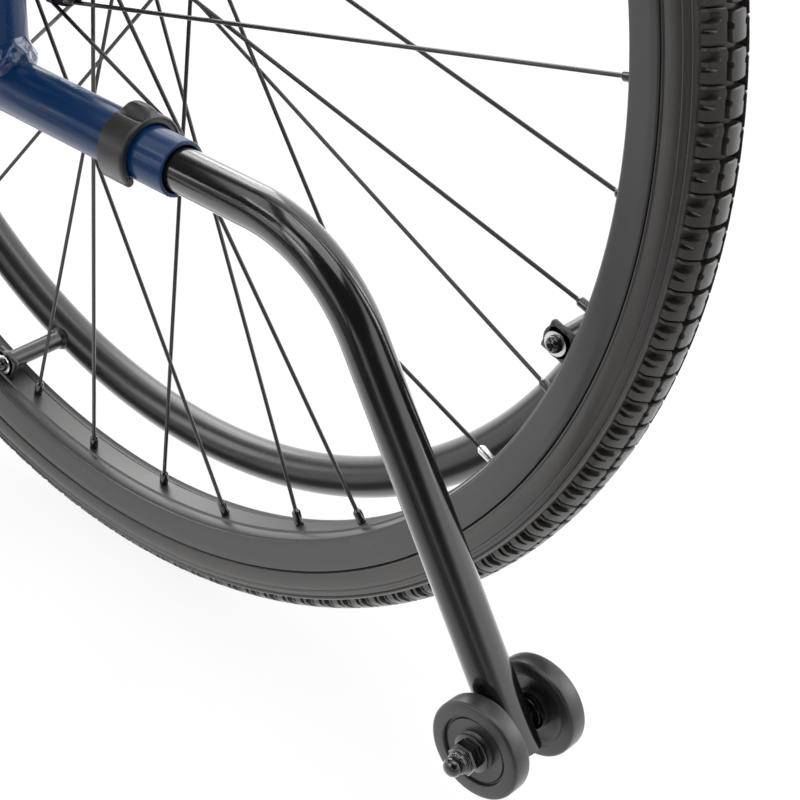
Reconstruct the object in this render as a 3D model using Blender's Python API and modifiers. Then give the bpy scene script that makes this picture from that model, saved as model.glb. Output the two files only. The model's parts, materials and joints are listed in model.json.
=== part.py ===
"""Folding lightweight wheelchair. Metres, +Z up, front towards -Y, the chair's left towards +X."""
import bpy
import bmesh
from math import ceil, cos, pi, radians, sin, tan
from mathutils import Matrix, Vector

# Driving sizes, metres
SEAT_WIDTH = 0.406            # between the two side frames
TUBE = 0.0228                 # frame tube
CLEARANCE = 0.0003            # between pieces that fit together

# Rear wheel
WHEEL_STEPS = 32
TYRE_RADIUS = 0.305
TYRE_WIDTH = 0.037
TYRE_HEIGHT = 0.022           # tread above the rim's edge
RIM_DEPTH = 0.0167            # rim's edge above its inner surface
RIM_WALL_DEPTH = 0.0035       # the inner surface lies this far inside the sidewall's edge
RIM_WIDTH = 0.0236
RIM_WELL_DEPTH = 0.007
RIM_WELL_WIDTH = 0.016
WHEEL_TO_FRAME = 0.0587
SPOKE_COUNT = 36
SPOKE_THICKNESS = 0.002
SPOKE_CROSSING = 60.0         # degrees between a spoke's hub hole and its rim hole
FIRST_SPOKE = -4.4            # degrees below the rearward level
NIPPLE_THICKNESS = 0.004
NIPPLE_LENGTH = 0.012
NIPPLE_STAGGER = 0.00165
FLANGE_SPACING = 0.0574
FLANGE_RADIUS = 0.024
FLANGE_THICKNESS = 0.0032
FLANGE_HOLE_RADIUS = 0.0205
SPOKE_FACE = 0.0019           # spokes leave the flange in turn by its two faces
HUB_BARREL_RADIUS = 0.014
HUB_END_RADIUS = 0.010
HUB_WIDTH = 0.066
AXLE_THICKNESS = 0.012
HANDRIM_TUBE = 0.019
HANDRIM_INSET = 0.0055        # handrim's middle line inside the rim's inner surface
HANDRIM_OFFSET = 0.0412
STANDOFF_COUNT = 4
STANDOFF_TUBE = 0.009
FIRST_STANDOFF = 20.0
TAB_THICKNESS = 0.003
TAB_WIDTH = 0.014
SCREW_SHANK = 0.005
SCREW_HEAD = 0.007
WASHER = 0.010

# Side frame
LOWER_TUBE_DROP = 0.0484      # lower tube below the axle
CANE_ABOVE_UPPER = 0.490
CANE_BEND = 0.050
HANDLE_REACH = 0.140
FRONT_BEND = 0.035
HOUSING_TUBE = 0.034
HOUSING_LENGTH = 0.063
REAR_SLOPE = 1.2              # degrees that the lower tube falls behind the axle
RECEIVER_MOUTH = 0.106
GRIP_THICKNESS = 0.032
GRIP_START = 0.053

# Cross brace
FOLD_ANGLE = 27.5             # brace above level when the chair is open
RAIL_INSET = 0.026            # seat rail inside the side frame
GUIDE_DROP = 0.017            # upper tube below the seat rail
GUIDE_BACK = 0.060            # rear seat guide ahead of the axle
GUIDE_BEHIND_POST = 0.130
BRACE_BACK = 0.170            # rear brace ahead of the axle
BRACE_SPACING = 0.024
SLEEVE_WALL = 0.0021
SLEEVE_LENGTH = 0.030
PIN_THICKNESS = 0.010
RAIL_BACK = 0.030
RAIL_AHEAD = 0.030            # seat rail ahead of the front post

# Anti-tip bar
BAR_TUBE = 0.018
BAR_WALL = 0.002
BAR_INSERT = 0.080
BAR_CORNER = 0.1821           # behind the axle, where the bar's two straight runs would meet
BAR_BEND = 0.066
BAR_ANGLE = 59.1
BAR_AXLE_BACK = 0.280
BAR_END = 0.011
TIP_CASTOR_RADIUS = 0.0202
TIP_CASTOR_WIDTH = 0.0087
TIP_CASTOR_RECESS = 0.002
TIP_CASTOR_GAP = 0.0238       # between the two castors
TIP_AXLE = 0.008
CAP_NUT_END = 0.035
BUTTON_BACK = 0.082
BUTTON_TILT = -10.0           # degrees from upright, inboard
BUTTON_THICKNESS = 0.006
BUTTON_REACH = 0.0026         # button's end outside the receiver
SPRING_WIRE = 0.0018
COLLAR_LENGTH = 0.0143
COLLAR_START = 0.075
COLLAR_WALL = 0.0037
COLLAR_OPENING = 104.0

# Armrest
ARM_TUBE = 0.018
ARM_TO_FRAME = 0.0245
ARM_PIVOT_AHEAD = 0.028
ARM_PIVOT_UP = 0.115          # above the upper tube
ARM_TOP_UP = 0.230
ARM_BEHIND_LOCK = 0.040
ARM_BEND = 0.030
ARM_PIN = 0.008
PAD_WIDTH = 0.050
PAD_HEIGHT = 0.026
PAD_BACK = 0.073
PAD_OVERHANG = 0.010          # pad ahead of the arm's front leg
GUARD_THICKNESS = 0.003

# Wheel lock
LOCK_AHEAD = TYRE_RADIUS + 0.030
POST_AHEAD_OF_LOCK = 0.050
LOCK_PLATE = 0.004
LEVER_PIVOT = (TYRE_RADIUS + 0.055, 0.030)  # ahead of the axle, below the upper tube
SHOE_PIVOT = (TYRE_RADIUS + 0.030, 0.035)
SHOE_ROD_AT = (TYRE_RADIUS - 0.013, 0.015)
SHOE_ROD = 0.010
LEVER_LENGTH = 0.150

# Front castor
CASTOR_STEPS = 16
CASTOR_RADIUS = 0.075
CASTOR_WIDTH = 0.025
CASTOR_TRAIL = 0.035
FORK_BLADE = 0.004
CROWN_HEIGHT = 0.012
STEM_THICKNESS = 0.012

# Hanger and footrest
HANGER_AHEAD = 0.027          # pivot ahead of the front post
KNUCKLE = 0.018
KNUCKLE_LENGTH = 0.020
LUG_THICKNESS = 0.008
LUG_DROPS = (0.032, 0.145)    # below the upper tube
LUG_NOSE = 0.0144             # rounded end of a lug, clear of the hanger's tube as it swings
HANGER_TUBE_AHEAD = 0.019     # hanger tube ahead of its pivot
HANGER_SLOPE = 25.0           # degrees forward of upright
HANGER_DROP = 0.155           # from the upper tube to the bend
HANGER_END = 0.155
FOOT_TUBE = 0.018
BARREL_HEIGHT = 0.105
BARREL = 0.016
BARREL_HEAD = 0.020
BARREL_LENGTH = 0.085         # behind the footplate's front edge
PLATE_WIDTH = 0.150
PLATE_LENGTH = 0.137
PLATE_AHEAD = 0.1283          # front edge ahead of the barrel's end of the hanger
PLATE_THICKNESS = 0.010
PLATE_DROP = 0.018

# Slings
SLING_THICKNESS = 0.005
SEAT_SAG = 0.016
BACK_THICKNESS = 0.0022
BACK_LOW = 0.155              # above the upper tube
BACK_HIGH = 0.440
BACK_SAG = 0.022

TUBE_SIDES = 10

# Places that follow from the sizes above; the right side is at -X
FRAME_X = -(SEAT_WIDTH + TUBE) / 2
WHEEL_X = FRAME_X - WHEEL_TO_FRAME
AXLE_Z = TYRE_RADIUS * cos(pi / WHEEL_STEPS)
RIM_EDGE_RADIUS = TYRE_RADIUS - TYRE_HEIGHT
RIM_INNER_RADIUS = RIM_EDGE_RADIUS - RIM_DEPTH
RIM_WELL_RADIUS = RIM_EDGE_RADIUS - RIM_WELL_DEPTH
BASE_LENGTH = LOCK_AHEAD + POST_AHEAD_OF_LOCK  # rear axle to front post
HANDRIM_RADIUS = RIM_INNER_RADIUS - HANDRIM_INSET
LOWER_Z = AXLE_Z - LOWER_TUBE_DROP
LOWER_LINK = -FRAME_X / cos(radians(FOLD_ANGLE))
UPPER_LINK = (-FRAME_X - RAIL_INSET) / cos(radians(FOLD_ANGLE))
PIN_Z = LOWER_Z + LOWER_LINK * sin(radians(FOLD_ANGLE))
RAIL_Z = PIN_Z + UPPER_LINK * sin(radians(FOLD_ANGLE))
RAIL_X = FRAME_X + RAIL_INSET
UPPER_Z = RAIL_Z - GUIDE_DROP
CANE_Z = UPPER_Z + CANE_ABOVE_UPPER
HANGER_BEND_Z = UPPER_Z - HANGER_DROP
HANGER_RUN = (HANGER_BEND_Z - BARREL_HEIGHT) * tan(radians(HANGER_SLOPE))
FRONT_REACH = BASE_LENGTH + HANGER_AHEAD + HANGER_TUBE_AHEAD + HANGER_RUN + PLATE_AHEAD
AXLE_Y = (FRONT_REACH - AXLE_Z) / 2
POST_Y = AXLE_Y - BASE_LENGTH
ARM_FRONT = LOCK_AHEAD - ARM_BEHIND_LOCK
PAD_FRONT = ARM_FRONT + PAD_OVERHANG
RAIL_FRONT = BASE_LENGTH + RAIL_AHEAD
ARM_X = FRAME_X - ARM_TO_FRAME
ARM_Y = AXLE_Y - ARM_PIVOT_AHEAD
ARM_Z = UPPER_Z + ARM_PIVOT_UP
ARM_TOP_Z = UPPER_Z + ARM_TOP_UP
CASTOR_Z = CASTOR_RADIUS * cos(pi / CASTOR_STEPS)
CROWN_Z = 2 * CASTOR_RADIUS + 0.006
HOUSING_Z = CROWN_Z + CROWN_HEIGHT + 0.001
HANGER_Y = POST_Y - HANGER_AHEAD
HANGER_TUBE_Y = HANGER_Y - HANGER_TUBE_AHEAD
TIP_AXLE_Y = AXLE_Y + BAR_AXLE_BACK
CORNER_Z = LOWER_Z - BAR_CORNER * tan(radians(REAR_SLOPE))
TIP_AXLE_Z = CORNER_Z - (BAR_AXLE_BACK - BAR_CORNER) * tan(radians(BAR_ANGLE))


def clear_scene():
    for item in list(bpy.data.objects):
        bpy.data.objects.remove(item, do_unlink=True)
    for group in list(bpy.data.collections):
        bpy.data.collections.remove(group)


def make_collection(name):
    group = bpy.data.collections.new(name)
    bpy.context.scene.collection.children.link(group)
    return group


def make_material(name, colour, roughness, metallic=0.0):
    material = bpy.data.materials.new(name)
    material.use_nodes = True
    shader = material.node_tree.nodes["Principled BSDF"]
    shader.inputs["Base Color"].default_value = (*colour, 1.0)
    shader.inputs["Roughness"].default_value = roughness
    shader.inputs["Metallic"].default_value = metallic
    return material


clear_scene()
PARTS = make_collection("lightweight_wheelchair")
TOOLS = make_collection("cutters")
BLUE = make_material("frame_blue", (0.006, 0.030, 0.095), 0.35)
BLACK_METAL = make_material("black_metal", (0.010, 0.010, 0.010), 0.25)
SATIN_METAL = make_material("satin_metal", (0.055, 0.055, 0.055), 0.40)
STEEL = make_material("bright_steel", (0.55, 0.55, 0.56), 0.25, 1.0)
RUBBER = make_material("black_rubber", (0.020, 0.020, 0.020), 0.65)
PLASTIC = make_material("black_plastic", (0.026, 0.026, 0.025), 0.55)
CLOTH = make_material("black_cloth", (0.018, 0.018, 0.020), 0.85)


# Shapes

def tool_object(name, data):
    item = bpy.data.objects.new(name, data)
    TOOLS.objects.link(item)
    item.hide_render = True
    item.display_type = 'WIRE'
    return item


def evaluated_mesh(item):
    bpy.context.view_layer.update()
    graph = bpy.context.evaluated_depsgraph_get()
    return bpy.data.meshes.new_from_object(item.evaluated_get(graph), depsgraph=graph)


def as_mesh(item):
    """Replace a curve or a modified object with a welded mesh whose faces point out."""
    mesh = evaluated_mesh(item)
    form = bmesh.new()
    form.from_mesh(mesh)
    form.transform(item.matrix_world)
    bmesh.ops.remove_doubles(form, verts=form.verts, dist=0.000001)
    bmesh.ops.recalc_face_normals(form, faces=form.faces)
    form.to_mesh(mesh)
    form.free()
    name = item.name
    bpy.data.objects.remove(item, do_unlink=True)
    return tool_object(name, mesh)


def moved(item, matrix):
    item.data.transform(matrix)
    return item


def rounded_path(corners, bend, closed=False, step=20.0):
    """Corners joined by straight runs, each corner replaced by an arc of radius bend."""
    corners = [Vector(corner) for corner in corners]
    count = len(corners)
    path = []
    for index, corner in enumerate(corners):
        if not closed and index in (0, count - 1):
            path.append(corner)
            continue
        back = (corners[index - 1] - corner).normalized()
        ahead = (corners[(index + 1) % count] - corner).normalized()
        turn = pi - back.angle(ahead)
        if bend <= 0 or turn < 0.01:
            path.append(corner)
            continue
        reach = bend * tan(turn / 2)
        middle = corner + (back + ahead).normalized() * bend / cos(turn / 2)
        first = corner + back * reach - middle
        axis = first.cross(corner + ahead * reach - middle)
        pieces = max(1, ceil(turn / radians(step)))
        for part in range(pieces + 1):
            path.append(middle + Matrix.Rotation(turn * part / pieces, 3, axis) @ first)
    return path


def tube(name, corners, thickness, bend=0.0, sides=TUBE_SIDES, step=20.0):
    curve = bpy.data.curves.new(name, 'CURVE')
    curve.dimensions = '3D'
    curve.bevel_depth = thickness / 2
    curve.bevel_resolution = (sides - 4) // 2
    curve.use_fill_caps = True
    path = rounded_path(corners, bend, step=step)
    spline = curve.splines.new('POLY')
    spline.points.add(len(path) - 1)
    for point, place in zip(spline.points, path):
        point.co = (*place, 1.0)
    return as_mesh(tool_object(name, curve))


def turned(name, profile, steps, axis, centre, closed=True, half_step=False):
    """A profile of (radius, distance along the axis) points, turned about X, Y or Z."""
    mesh = bpy.data.meshes.new(name)
    links = [(index, index + 1) for index in range(len(profile) - 1)]
    if closed:
        links.append((len(profile) - 1, 0))
    mesh.from_pydata([(radius, 0, along) for radius, along in profile], links, [])
    item = tool_object(name, mesh)
    screw = item.modifiers.new("turn", 'SCREW')
    screw.steps = steps
    screw.render_steps = steps
    screw.use_merge_vertices = True
    screw.merge_threshold = 0.00001
    item = as_mesh(item)
    start = pi / steps if half_step else 0.0
    turn = {'X': Matrix.Rotation(pi / 2, 4, 'Y'), 'Y': Matrix.Rotation(-pi / 2, 4, 'X'), 'Z': Matrix()}[axis]
    return moved(item, Matrix.Translation(centre) @ turn @ Matrix.Rotation(start, 4, 'Z'))


def rod(name, thickness, start, end, sides=TUBE_SIDES, end_thickness=None):
    start, end = Vector(start), Vector(end)
    form = bmesh.new()
    second = thickness if end_thickness is None else end_thickness
    bmesh.ops.create_cone(form, cap_ends=True, segments=sides, radius1=thickness / 2, radius2=second / 2,
                          depth=(end - start).length)
    mesh = bpy.data.meshes.new(name)
    form.to_mesh(mesh)
    form.free()
    turn = (end - start).to_track_quat('Z', 'Y').to_matrix().to_4x4()
    spin = Matrix.Rotation(pi / sides, 4, 'Z')
    return moved(tool_object(name, mesh), Matrix.Translation((start + end) / 2) @ turn @ spin)


def box(name, low, high, bevel=0.0, segments=1):
    low, high = Vector(low), Vector(high)
    form = bmesh.new()
    bmesh.ops.create_cube(form, size=1.0)
    bmesh.ops.scale(form, vec=high - low, verts=form.verts)
    bmesh.ops.translate(form, vec=(low + high) / 2, verts=form.verts)
    if bevel > 0:
        bmesh.ops.bevel(form, geom=form.edges[:], offset=bevel, segments=segments, profile=0.5,
                        affect='EDGES', clamp_overlap=True)
    mesh = bpy.data.meshes.new(name)
    form.to_mesh(mesh)
    form.free()
    return tool_object(name, mesh)


PLANES = {
    'YZ': Matrix(((0, 0, 1, 0), (1, 0, 0, 0), (0, 1, 0, 0), (0, 0, 0, 1))),
    'XZ': Matrix(((1, 0, 0, 0), (0, 0, -1, 0), (0, 1, 0, 0), (0, 0, 0, 1))),
    'XY': Matrix(),
}


def plate(name, outlines, middle, thickness, plane, bend=0.0, step=30.0):
    """Flat outlines, the first outside and the rest holes, with their middle plane at middle."""
    curve = bpy.data.curves.new(name, 'CURVE')
    curve.dimensions = '2D'
    curve.fill_mode = 'BOTH'
    curve.extrude = thickness / 2
    for outline in outlines:
        flat = [(point[0], point[1], 0.0) for point in outline]
        path = rounded_path(flat, bend, closed=True, step=step) if bend > 0 else flat
        spline = curve.splines.new('POLY')
        spline.points.add(len(path) - 1)
        for point, place in zip(spline.points, path):
            point.co = (place[0], place[1], 0.0, 1.0)
        spline.use_cyclic_u = True
    item = as_mesh(tool_object(name, curve))
    shift = PLANES[plane] @ Vector((0, 0, 1)) * middle
    if plane == 'XZ':
        shift = Vector((0, middle, 0))
    return moved(item, Matrix.Translation(shift) @ PLANES[plane])


def combine(item, others, operation):
    """One exact Boolean with a whole group of other shapes, which are used up."""
    group = bpy.data.collections.new("operands")
    for other in others:
        group.objects.link(other)
    modifier = item.modifiers.new("combine", 'BOOLEAN')
    modifier.operation = operation
    modifier.solver = 'EXACT'
    modifier.operand_type = 'COLLECTION'
    modifier.collection = group
    mesh = evaluated_mesh(item)
    item.modifiers.remove(modifier)
    item.data = mesh
    for other in others:
        bpy.data.objects.remove(other, do_unlink=True)
    bpy.data.collections.remove(group)
    return item


def join(item, *others):
    return combine(item, others, 'UNION')


def cut(item, *others):
    return combine(item, others, 'DIFFERENCE')


def bore_of(thickness, sides=TUBE_SIDES):
    """Thickness of a faceted bore that clears a round of the given thickness."""
    return (thickness + 2 * CLEARANCE) / cos(pi / sides)


def finish(item, name, material, origin=(0, 0, 0)):
    """Make a shape a part: its name, its material and its origin, on the joint's axis if it moves."""
    origin = Vector(origin)
    item.name = name
    item.data.name = name
    item.data.transform(Matrix.Translation(-origin))
    item.location = origin
    item.data.materials.clear()
    item.data.materials.append(material)
    form = bmesh.new()
    form.from_mesh(item.data)
    bmesh.ops.remove_doubles(form, verts=form.verts, dist=0.00002)
    bmesh.ops.dissolve_limit(form, angle_limit=radians(0.05), verts=form.verts, edges=form.edges)
    bmesh.ops.triangulate(form, faces=form.faces)
    form.to_mesh(item.data)
    form.free()
    item.data.shade_smooth()
    item.data.set_sharp_from_angle(angle=radians(35))
    TOOLS.objects.unlink(item)
    PARTS.objects.link(item)
    item.hide_render = False
    item.display_type = 'TEXTURED'
    return item


def mirrored(item):
    """The left side's copy of a right side part."""
    mesh = item.data.copy()
    form = bmesh.new()
    form.from_mesh(mesh)
    bmesh.ops.scale(form, vec=(-1, 1, 1), verts=form.verts)
    bmesh.ops.reverse_faces(form, faces=form.faces)
    form.to_mesh(mesh)
    form.free()
    mesh.name = item.name.replace("right_", "left_")
    copy = bpy.data.objects.new(mesh.name, mesh)
    copy.location = (-item.location.x, item.location.y, item.location.z)
    PARTS.objects.link(copy)
    return copy


# Side frame

def receiver_point(distance):
    """A point on the middle line of the lower tube's sloping end, a distance behind the axle."""
    return Vector((FRAME_X, AXLE_Y + distance, LOWER_Z - distance * tan(radians(REAR_SLOPE))))


def button_place():
    return receiver_point(BUTTON_BACK)


def button_direction():
    return Vector((sin(radians(BUTTON_TILT)), 0, cos(radians(BUTTON_TILT))))


def arm_socket():
    """A welded channel that takes the foot of the armrest, open at its front, back and top."""
    half = ARM_TUBE / 2 + CLEARANCE
    wall = 0.002
    floor = UPPER_Z + 0.0165
    inner = FRAME_X - TUBE / 2 + 0.0012
    outer = ARM_X - half - wall
    outline = [(inner, UPPER_Z - 0.006), (inner, floor), (ARM_X + half + wall, floor + 0.003),
               (ARM_X + half + wall, floor + 0.018), (ARM_X + half, floor + 0.018), (ARM_X + half, floor),
               (ARM_X - half, floor), (ARM_X - half, floor + 0.018), (outer, floor + 0.018),
               (outer, floor - wall), (ARM_X + half - wall, floor - wall), (inner - 0.004, UPPER_Z - 0.006)]
    return plate("arm_socket", [outline], AXLE_Y - ARM_FRONT, 0.020, 'XZ')


def side_frame():
    cane = tube("cane", [(FRAME_X, AXLE_Y, LOWER_Z), (FRAME_X, AXLE_Y, CANE_Z),
                         (FRAME_X, AXLE_Y + HANDLE_REACH, CANE_Z)], TUBE, CANE_BEND, step=23)
    upper = tube("upper", [(FRAME_X, AXLE_Y, UPPER_Z), (FRAME_X, POST_Y, UPPER_Z),
                           (FRAME_X, POST_Y, HOUSING_Z + HOUSING_LENGTH - 0.005)], TUBE, FRONT_BEND, step=23)
    lower = tube("lower", [receiver_point(RECEIVER_MOUTH), receiver_point(0), (FRAME_X, POST_Y, LOWER_Z)], TUBE)
    housing = rod("housing", HOUSING_TUBE, (FRAME_X, POST_Y, HOUSING_Z),
                  (FRAME_X, POST_Y, HOUSING_Z + HOUSING_LENGTH), 16)
    extras = [upper, lower, housing, arm_socket()]
    for height in hanger_lug_heights():
        extras.append(box("hanger_lug", (FRAME_X - LUG_NOSE / 2, HANGER_Y, height - LUG_THICKNESS),
                          (FRAME_X + LUG_NOSE / 2, POST_Y - 0.006, height)))
        extras.append(rod("lug_nose", LUG_NOSE, (FRAME_X, HANGER_Y, height - LUG_THICKNESS),
                          (FRAME_X, HANGER_Y, height), 12))
        extras.append(rod("hanger_pin", PIN_THICKNESS, (FRAME_X, HANGER_Y, height - 0.002),
                          (FRAME_X, HANGER_Y, height + KNUCKLE_LENGTH + 0.004), 8))
    arm_lug = box("arm_lug", (FRAME_X - 0.0095, ARM_Y - 0.012, ARM_Z - 0.012),
                  (FRAME_X - 0.0035, AXLE_Y - 0.004, ARM_Z + 0.012))
    head_x = ARM_X - ARM_TUBE / 2 + 0.002 - CLEARANCE
    arm_pin = rod("arm_pin", ARM_PIN, (FRAME_X - 0.006, ARM_Y, ARM_Z), (head_x - 0.001, ARM_Y, ARM_Z), 10)
    arm_head = rod("arm_head", 0.014, (head_x, ARM_Y, ARM_Z), (head_x - 0.003, ARM_Y, ARM_Z), 8)
    frame = join(cane, *extras, arm_lug, arm_pin, arm_head)
    socket_depth = RECEIVER_MOUTH - BAR_INSERT - 0.004
    bar_bore = tube("bar_bore", [receiver_point(socket_depth), receiver_point(RECEIVER_MOUTH + TUBE)],
                    bore_of(BAR_TUBE))
    stem_bore = rod("stem_bore", bore_of(STEM_THICKNESS), (FRAME_X, POST_Y, HOUSING_Z - 0.01),
                    (FRAME_X, POST_Y, HOUSING_Z + HOUSING_LENGTH - 0.004))
    axle_hole = rod("axle_hole", bore_of(AXLE_THICKNESS), (FRAME_X - 0.02, AXLE_Y, AXLE_Z),
                    (FRAME_X + 0.02, AXLE_Y, AXLE_Z))
    out = button_direction()
    button_hole = rod("button_hole", bore_of(BUTTON_THICKNESS, 8), button_place() + out * TUBE / 4,
                      button_place() + out * TUBE, 8)
    cut(frame, bar_bore, stem_bore, axle_hole, button_hole)
    return finish(frame, "right_side_frame", BLUE)


def hanger_lug_heights():
    return [UPPER_Z - drop for drop in LUG_DROPS]


def handgrip():
    end = HANDLE_REACH + 0.004
    outer = GRIP_THICKNESS / 2
    bore = bore_of(TUBE, 12) / 2
    groove = outer - 0.002
    profile = [(0, end), (outer - 0.004, end), (outer, end - 0.004)]
    pitch = (end - 0.012 - GRIP_START) / 3
    for index in range(3):
        start = end - 0.006 - index * pitch
        profile += [(outer, start - pitch * 0.55), (groove, start - pitch * 0.75)]
    profile += [(outer + 0.002, GRIP_START), (bore, GRIP_START), (bore, HANDLE_REACH + CLEARANCE)]
    profile += [(0, HANDLE_REACH + CLEARANCE)]
    grip = turned("grip", profile, 12, 'Y', (FRAME_X, AXLE_Y, CANE_Z), closed=False)
    return finish(grip, "right_handgrip", RUBBER)


def receiver_collar():
    """A plastic clip that is open below, with a domed press pad over the snap button."""
    inner = bore_of(TUBE, 18) / 2
    outer = inner + COLLAR_WALL
    start = radians(-90 + COLLAR_OPENING / 2)
    sweep = radians(360 - COLLAR_OPENING)
    count = 12
    angles = [start + sweep * index / count for index in range(count + 1)]
    outline = [(outer * cos(turn), outer * sin(turn)) for turn in angles]
    outline += [(inner * cos(turn), inner * sin(turn)) for turn in reversed(angles)]
    ring = plate("collar", [outline], 0, COLLAR_LENGTH, 'XZ')
    slope = Matrix.Rotation(-radians(REAR_SLOPE), 4, 'X')
    moved(ring, Matrix.Translation(receiver_point(COLLAR_START + COLLAR_LENGTH / 2)) @ slope)
    out = button_direction()
    centre = button_place()
    dome = rod("dome", 0.013, centre + out * (outer - 0.002), centre + out * (outer + 0.004), 12, 0.009)
    ring = join(ring, dome)
    pocket = rod("pocket", bore_of(BUTTON_THICKNESS, 8) + 0.0006, centre + out * (inner - 0.003),
                 centre + out * (inner + 0.004), 8)
    return finish(cut(ring, pocket), "right_receiver_collar", PLASTIC)


def seat_guide(name, ahead):
    """A ring round the upper tube with an open cradle in which the seat rail comes to rest."""
    middle = AXLE_Y - ahead
    low, high = middle - 0.010, middle + 0.010
    ring = rod("ring", 0.030, (FRAME_X, low, UPPER_Z), (FRAME_X, high, UPPER_Z), 12)
    cradle = box("cradle", (RAIL_X - 0.0150, low + 0.001, RAIL_Z - 0.0150),
                 (RAIL_X + 0.0142, high - 0.001, RAIL_Z + 0.004))
    guide = join(ring, cradle)
    hole = rod("hole", bore_of(TUBE), (FRAME_X, low - 0.01, UPPER_Z), (FRAME_X, high + 0.01, UPPER_Z))
    seat = rod("seat", TUBE + 0.0020, (RAIL_X, low - 0.01, RAIL_Z), (RAIL_X, high + 0.01, RAIL_Z))
    mouth = box("mouth", (RAIL_X - TUBE / 2 - 0.0009, low - 0.01, RAIL_Z),
                (RAIL_X + TUBE / 2 + 0.0009, high + 0.01, RAIL_Z + 0.02))
    return finish(cut(guide, hole, seat, mouth), name, PLASTIC)


# Rear wheel

def wheel_point(angle, radius, across=0.0):
    """A point of the right wheel: degrees below the rearward level, radius, distance inboard."""
    turn = radians(angle)
    return Vector((WHEEL_X + across, AXLE_Y + radius * cos(turn), AXLE_Z - radius * sin(turn)))


def rear_axle():
    """Through bolt with its head outboard, a spacer against the frame and a nut inboard."""
    shaft = AXLE_THICKNESS / 2
    hub_end = HUB_WIDTH / 2 + CLEARANCE
    frame_out = WHEEL_TO_FRAME - TUBE / 2 - CLEARANCE
    frame_in = WHEEL_TO_FRAME + TUBE / 2 + CLEARANCE
    profile = [(0, -hub_end - 0.006), (0.008, -hub_end - 0.006), (0.010, -hub_end - 0.003), (0.010, -hub_end),
               (shaft, -hub_end), (shaft, hub_end), (0.009, hub_end), (0.009, frame_out), (shaft, frame_out),
               (shaft, frame_in), (0.0095, frame_in), (0.0095, frame_in + 0.007), (0.006, frame_in + 0.010),
               (0, frame_in + 0.010)]
    axle = turned("axle", profile, 8, 'X', (WHEEL_X, AXLE_Y, AXLE_Z), closed=False)
    return finish(axle, "right_rear_axle", STEEL)


def tyre():
    lip = RIM_EDGE_RADIUS + 0.0004
    bead = RIM_WELL_RADIUS + 0.0004
    half = TYRE_WIDTH / 2
    side = [(bead, RIM_WELL_WIDTH / 2 - 0.0003), (lip, RIM_WIDTH / 2 - 0.0008), (lip, RIM_WIDTH / 2 + 0.0008),
            (lip + 0.0055, half), (TYRE_RADIUS - 0.007, half - 0.003), (TYRE_RADIUS, half * 0.4)]
    profile = side + [(radius, -across) for radius, across in reversed(side)]
    ring = turned("tyre", profile, WHEEL_STEPS, 'X', (WHEEL_X, AXLE_Y, AXLE_Z), half_step=True)
    return finish(ring, "right_tyre", RUBBER, (WHEEL_X, AXLE_Y, AXLE_Z))


def rim():
    open_out = 1 / cos(pi / WHEEL_STEPS)
    inner = RIM_INNER_RADIUS * open_out
    half = RIM_WIDTH / 2
    wall = (RIM_INNER_RADIUS + RIM_WALL_DEPTH) * open_out
    profile = [(RIM_EDGE_RADIUS, half - 0.0004), (wall, half + 0.0002), (inner, 0.005), (inner, -0.005),
               (wall, -half - 0.0002), (RIM_EDGE_RADIUS, -half + 0.0004), (RIM_WELL_RADIUS, -RIM_WELL_WIDTH / 2),
               (RIM_WELL_RADIUS, RIM_WELL_WIDTH / 2)]
    ring = turned("rim", profile, WHEEL_STEPS, 'X', (WHEEL_X, AXLE_Y, AXLE_Z), half_step=True)
    tabs = []
    holes = []
    for index in range(STANDOFF_COUNT):
        angle = FIRST_STANDOFF + 360 * index / STANDOFF_COUNT
        tab = box("tab", (WHEEL_X, AXLE_Y + HANDRIM_RADIUS - TAB_WIDTH / 2 + 0.001, AXLE_Z - TAB_WIDTH / 2),
                  (WHEEL_X + TAB_THICKNESS, AXLE_Y + inner + 0.002, AXLE_Z + TAB_WIDTH / 2))
        tabs.append(spun(tab, angle))
        holes.append(rod("tab_hole", bore_of(SCREW_SHANK, 8), wheel_point(angle, HANDRIM_RADIUS, -0.002),
                         wheel_point(angle, HANDRIM_RADIUS, TAB_THICKNESS + 0.002), 8))
    return finish(cut(join(ring, *tabs), *holes), "right_rim", SATIN_METAL, (WHEEL_X, AXLE_Y, AXLE_Z))


def spun(item, angle):
    """Turn a shape about the rear axle, degrees downwards from the rear."""
    centre = Vector((WHEEL_X, AXLE_Y, AXLE_Z))
    turn = Matrix.Translation(centre) @ Matrix.Rotation(-radians(angle), 4, 'X') @ Matrix.Translation(-centre)
    return moved(item, turn)


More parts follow.
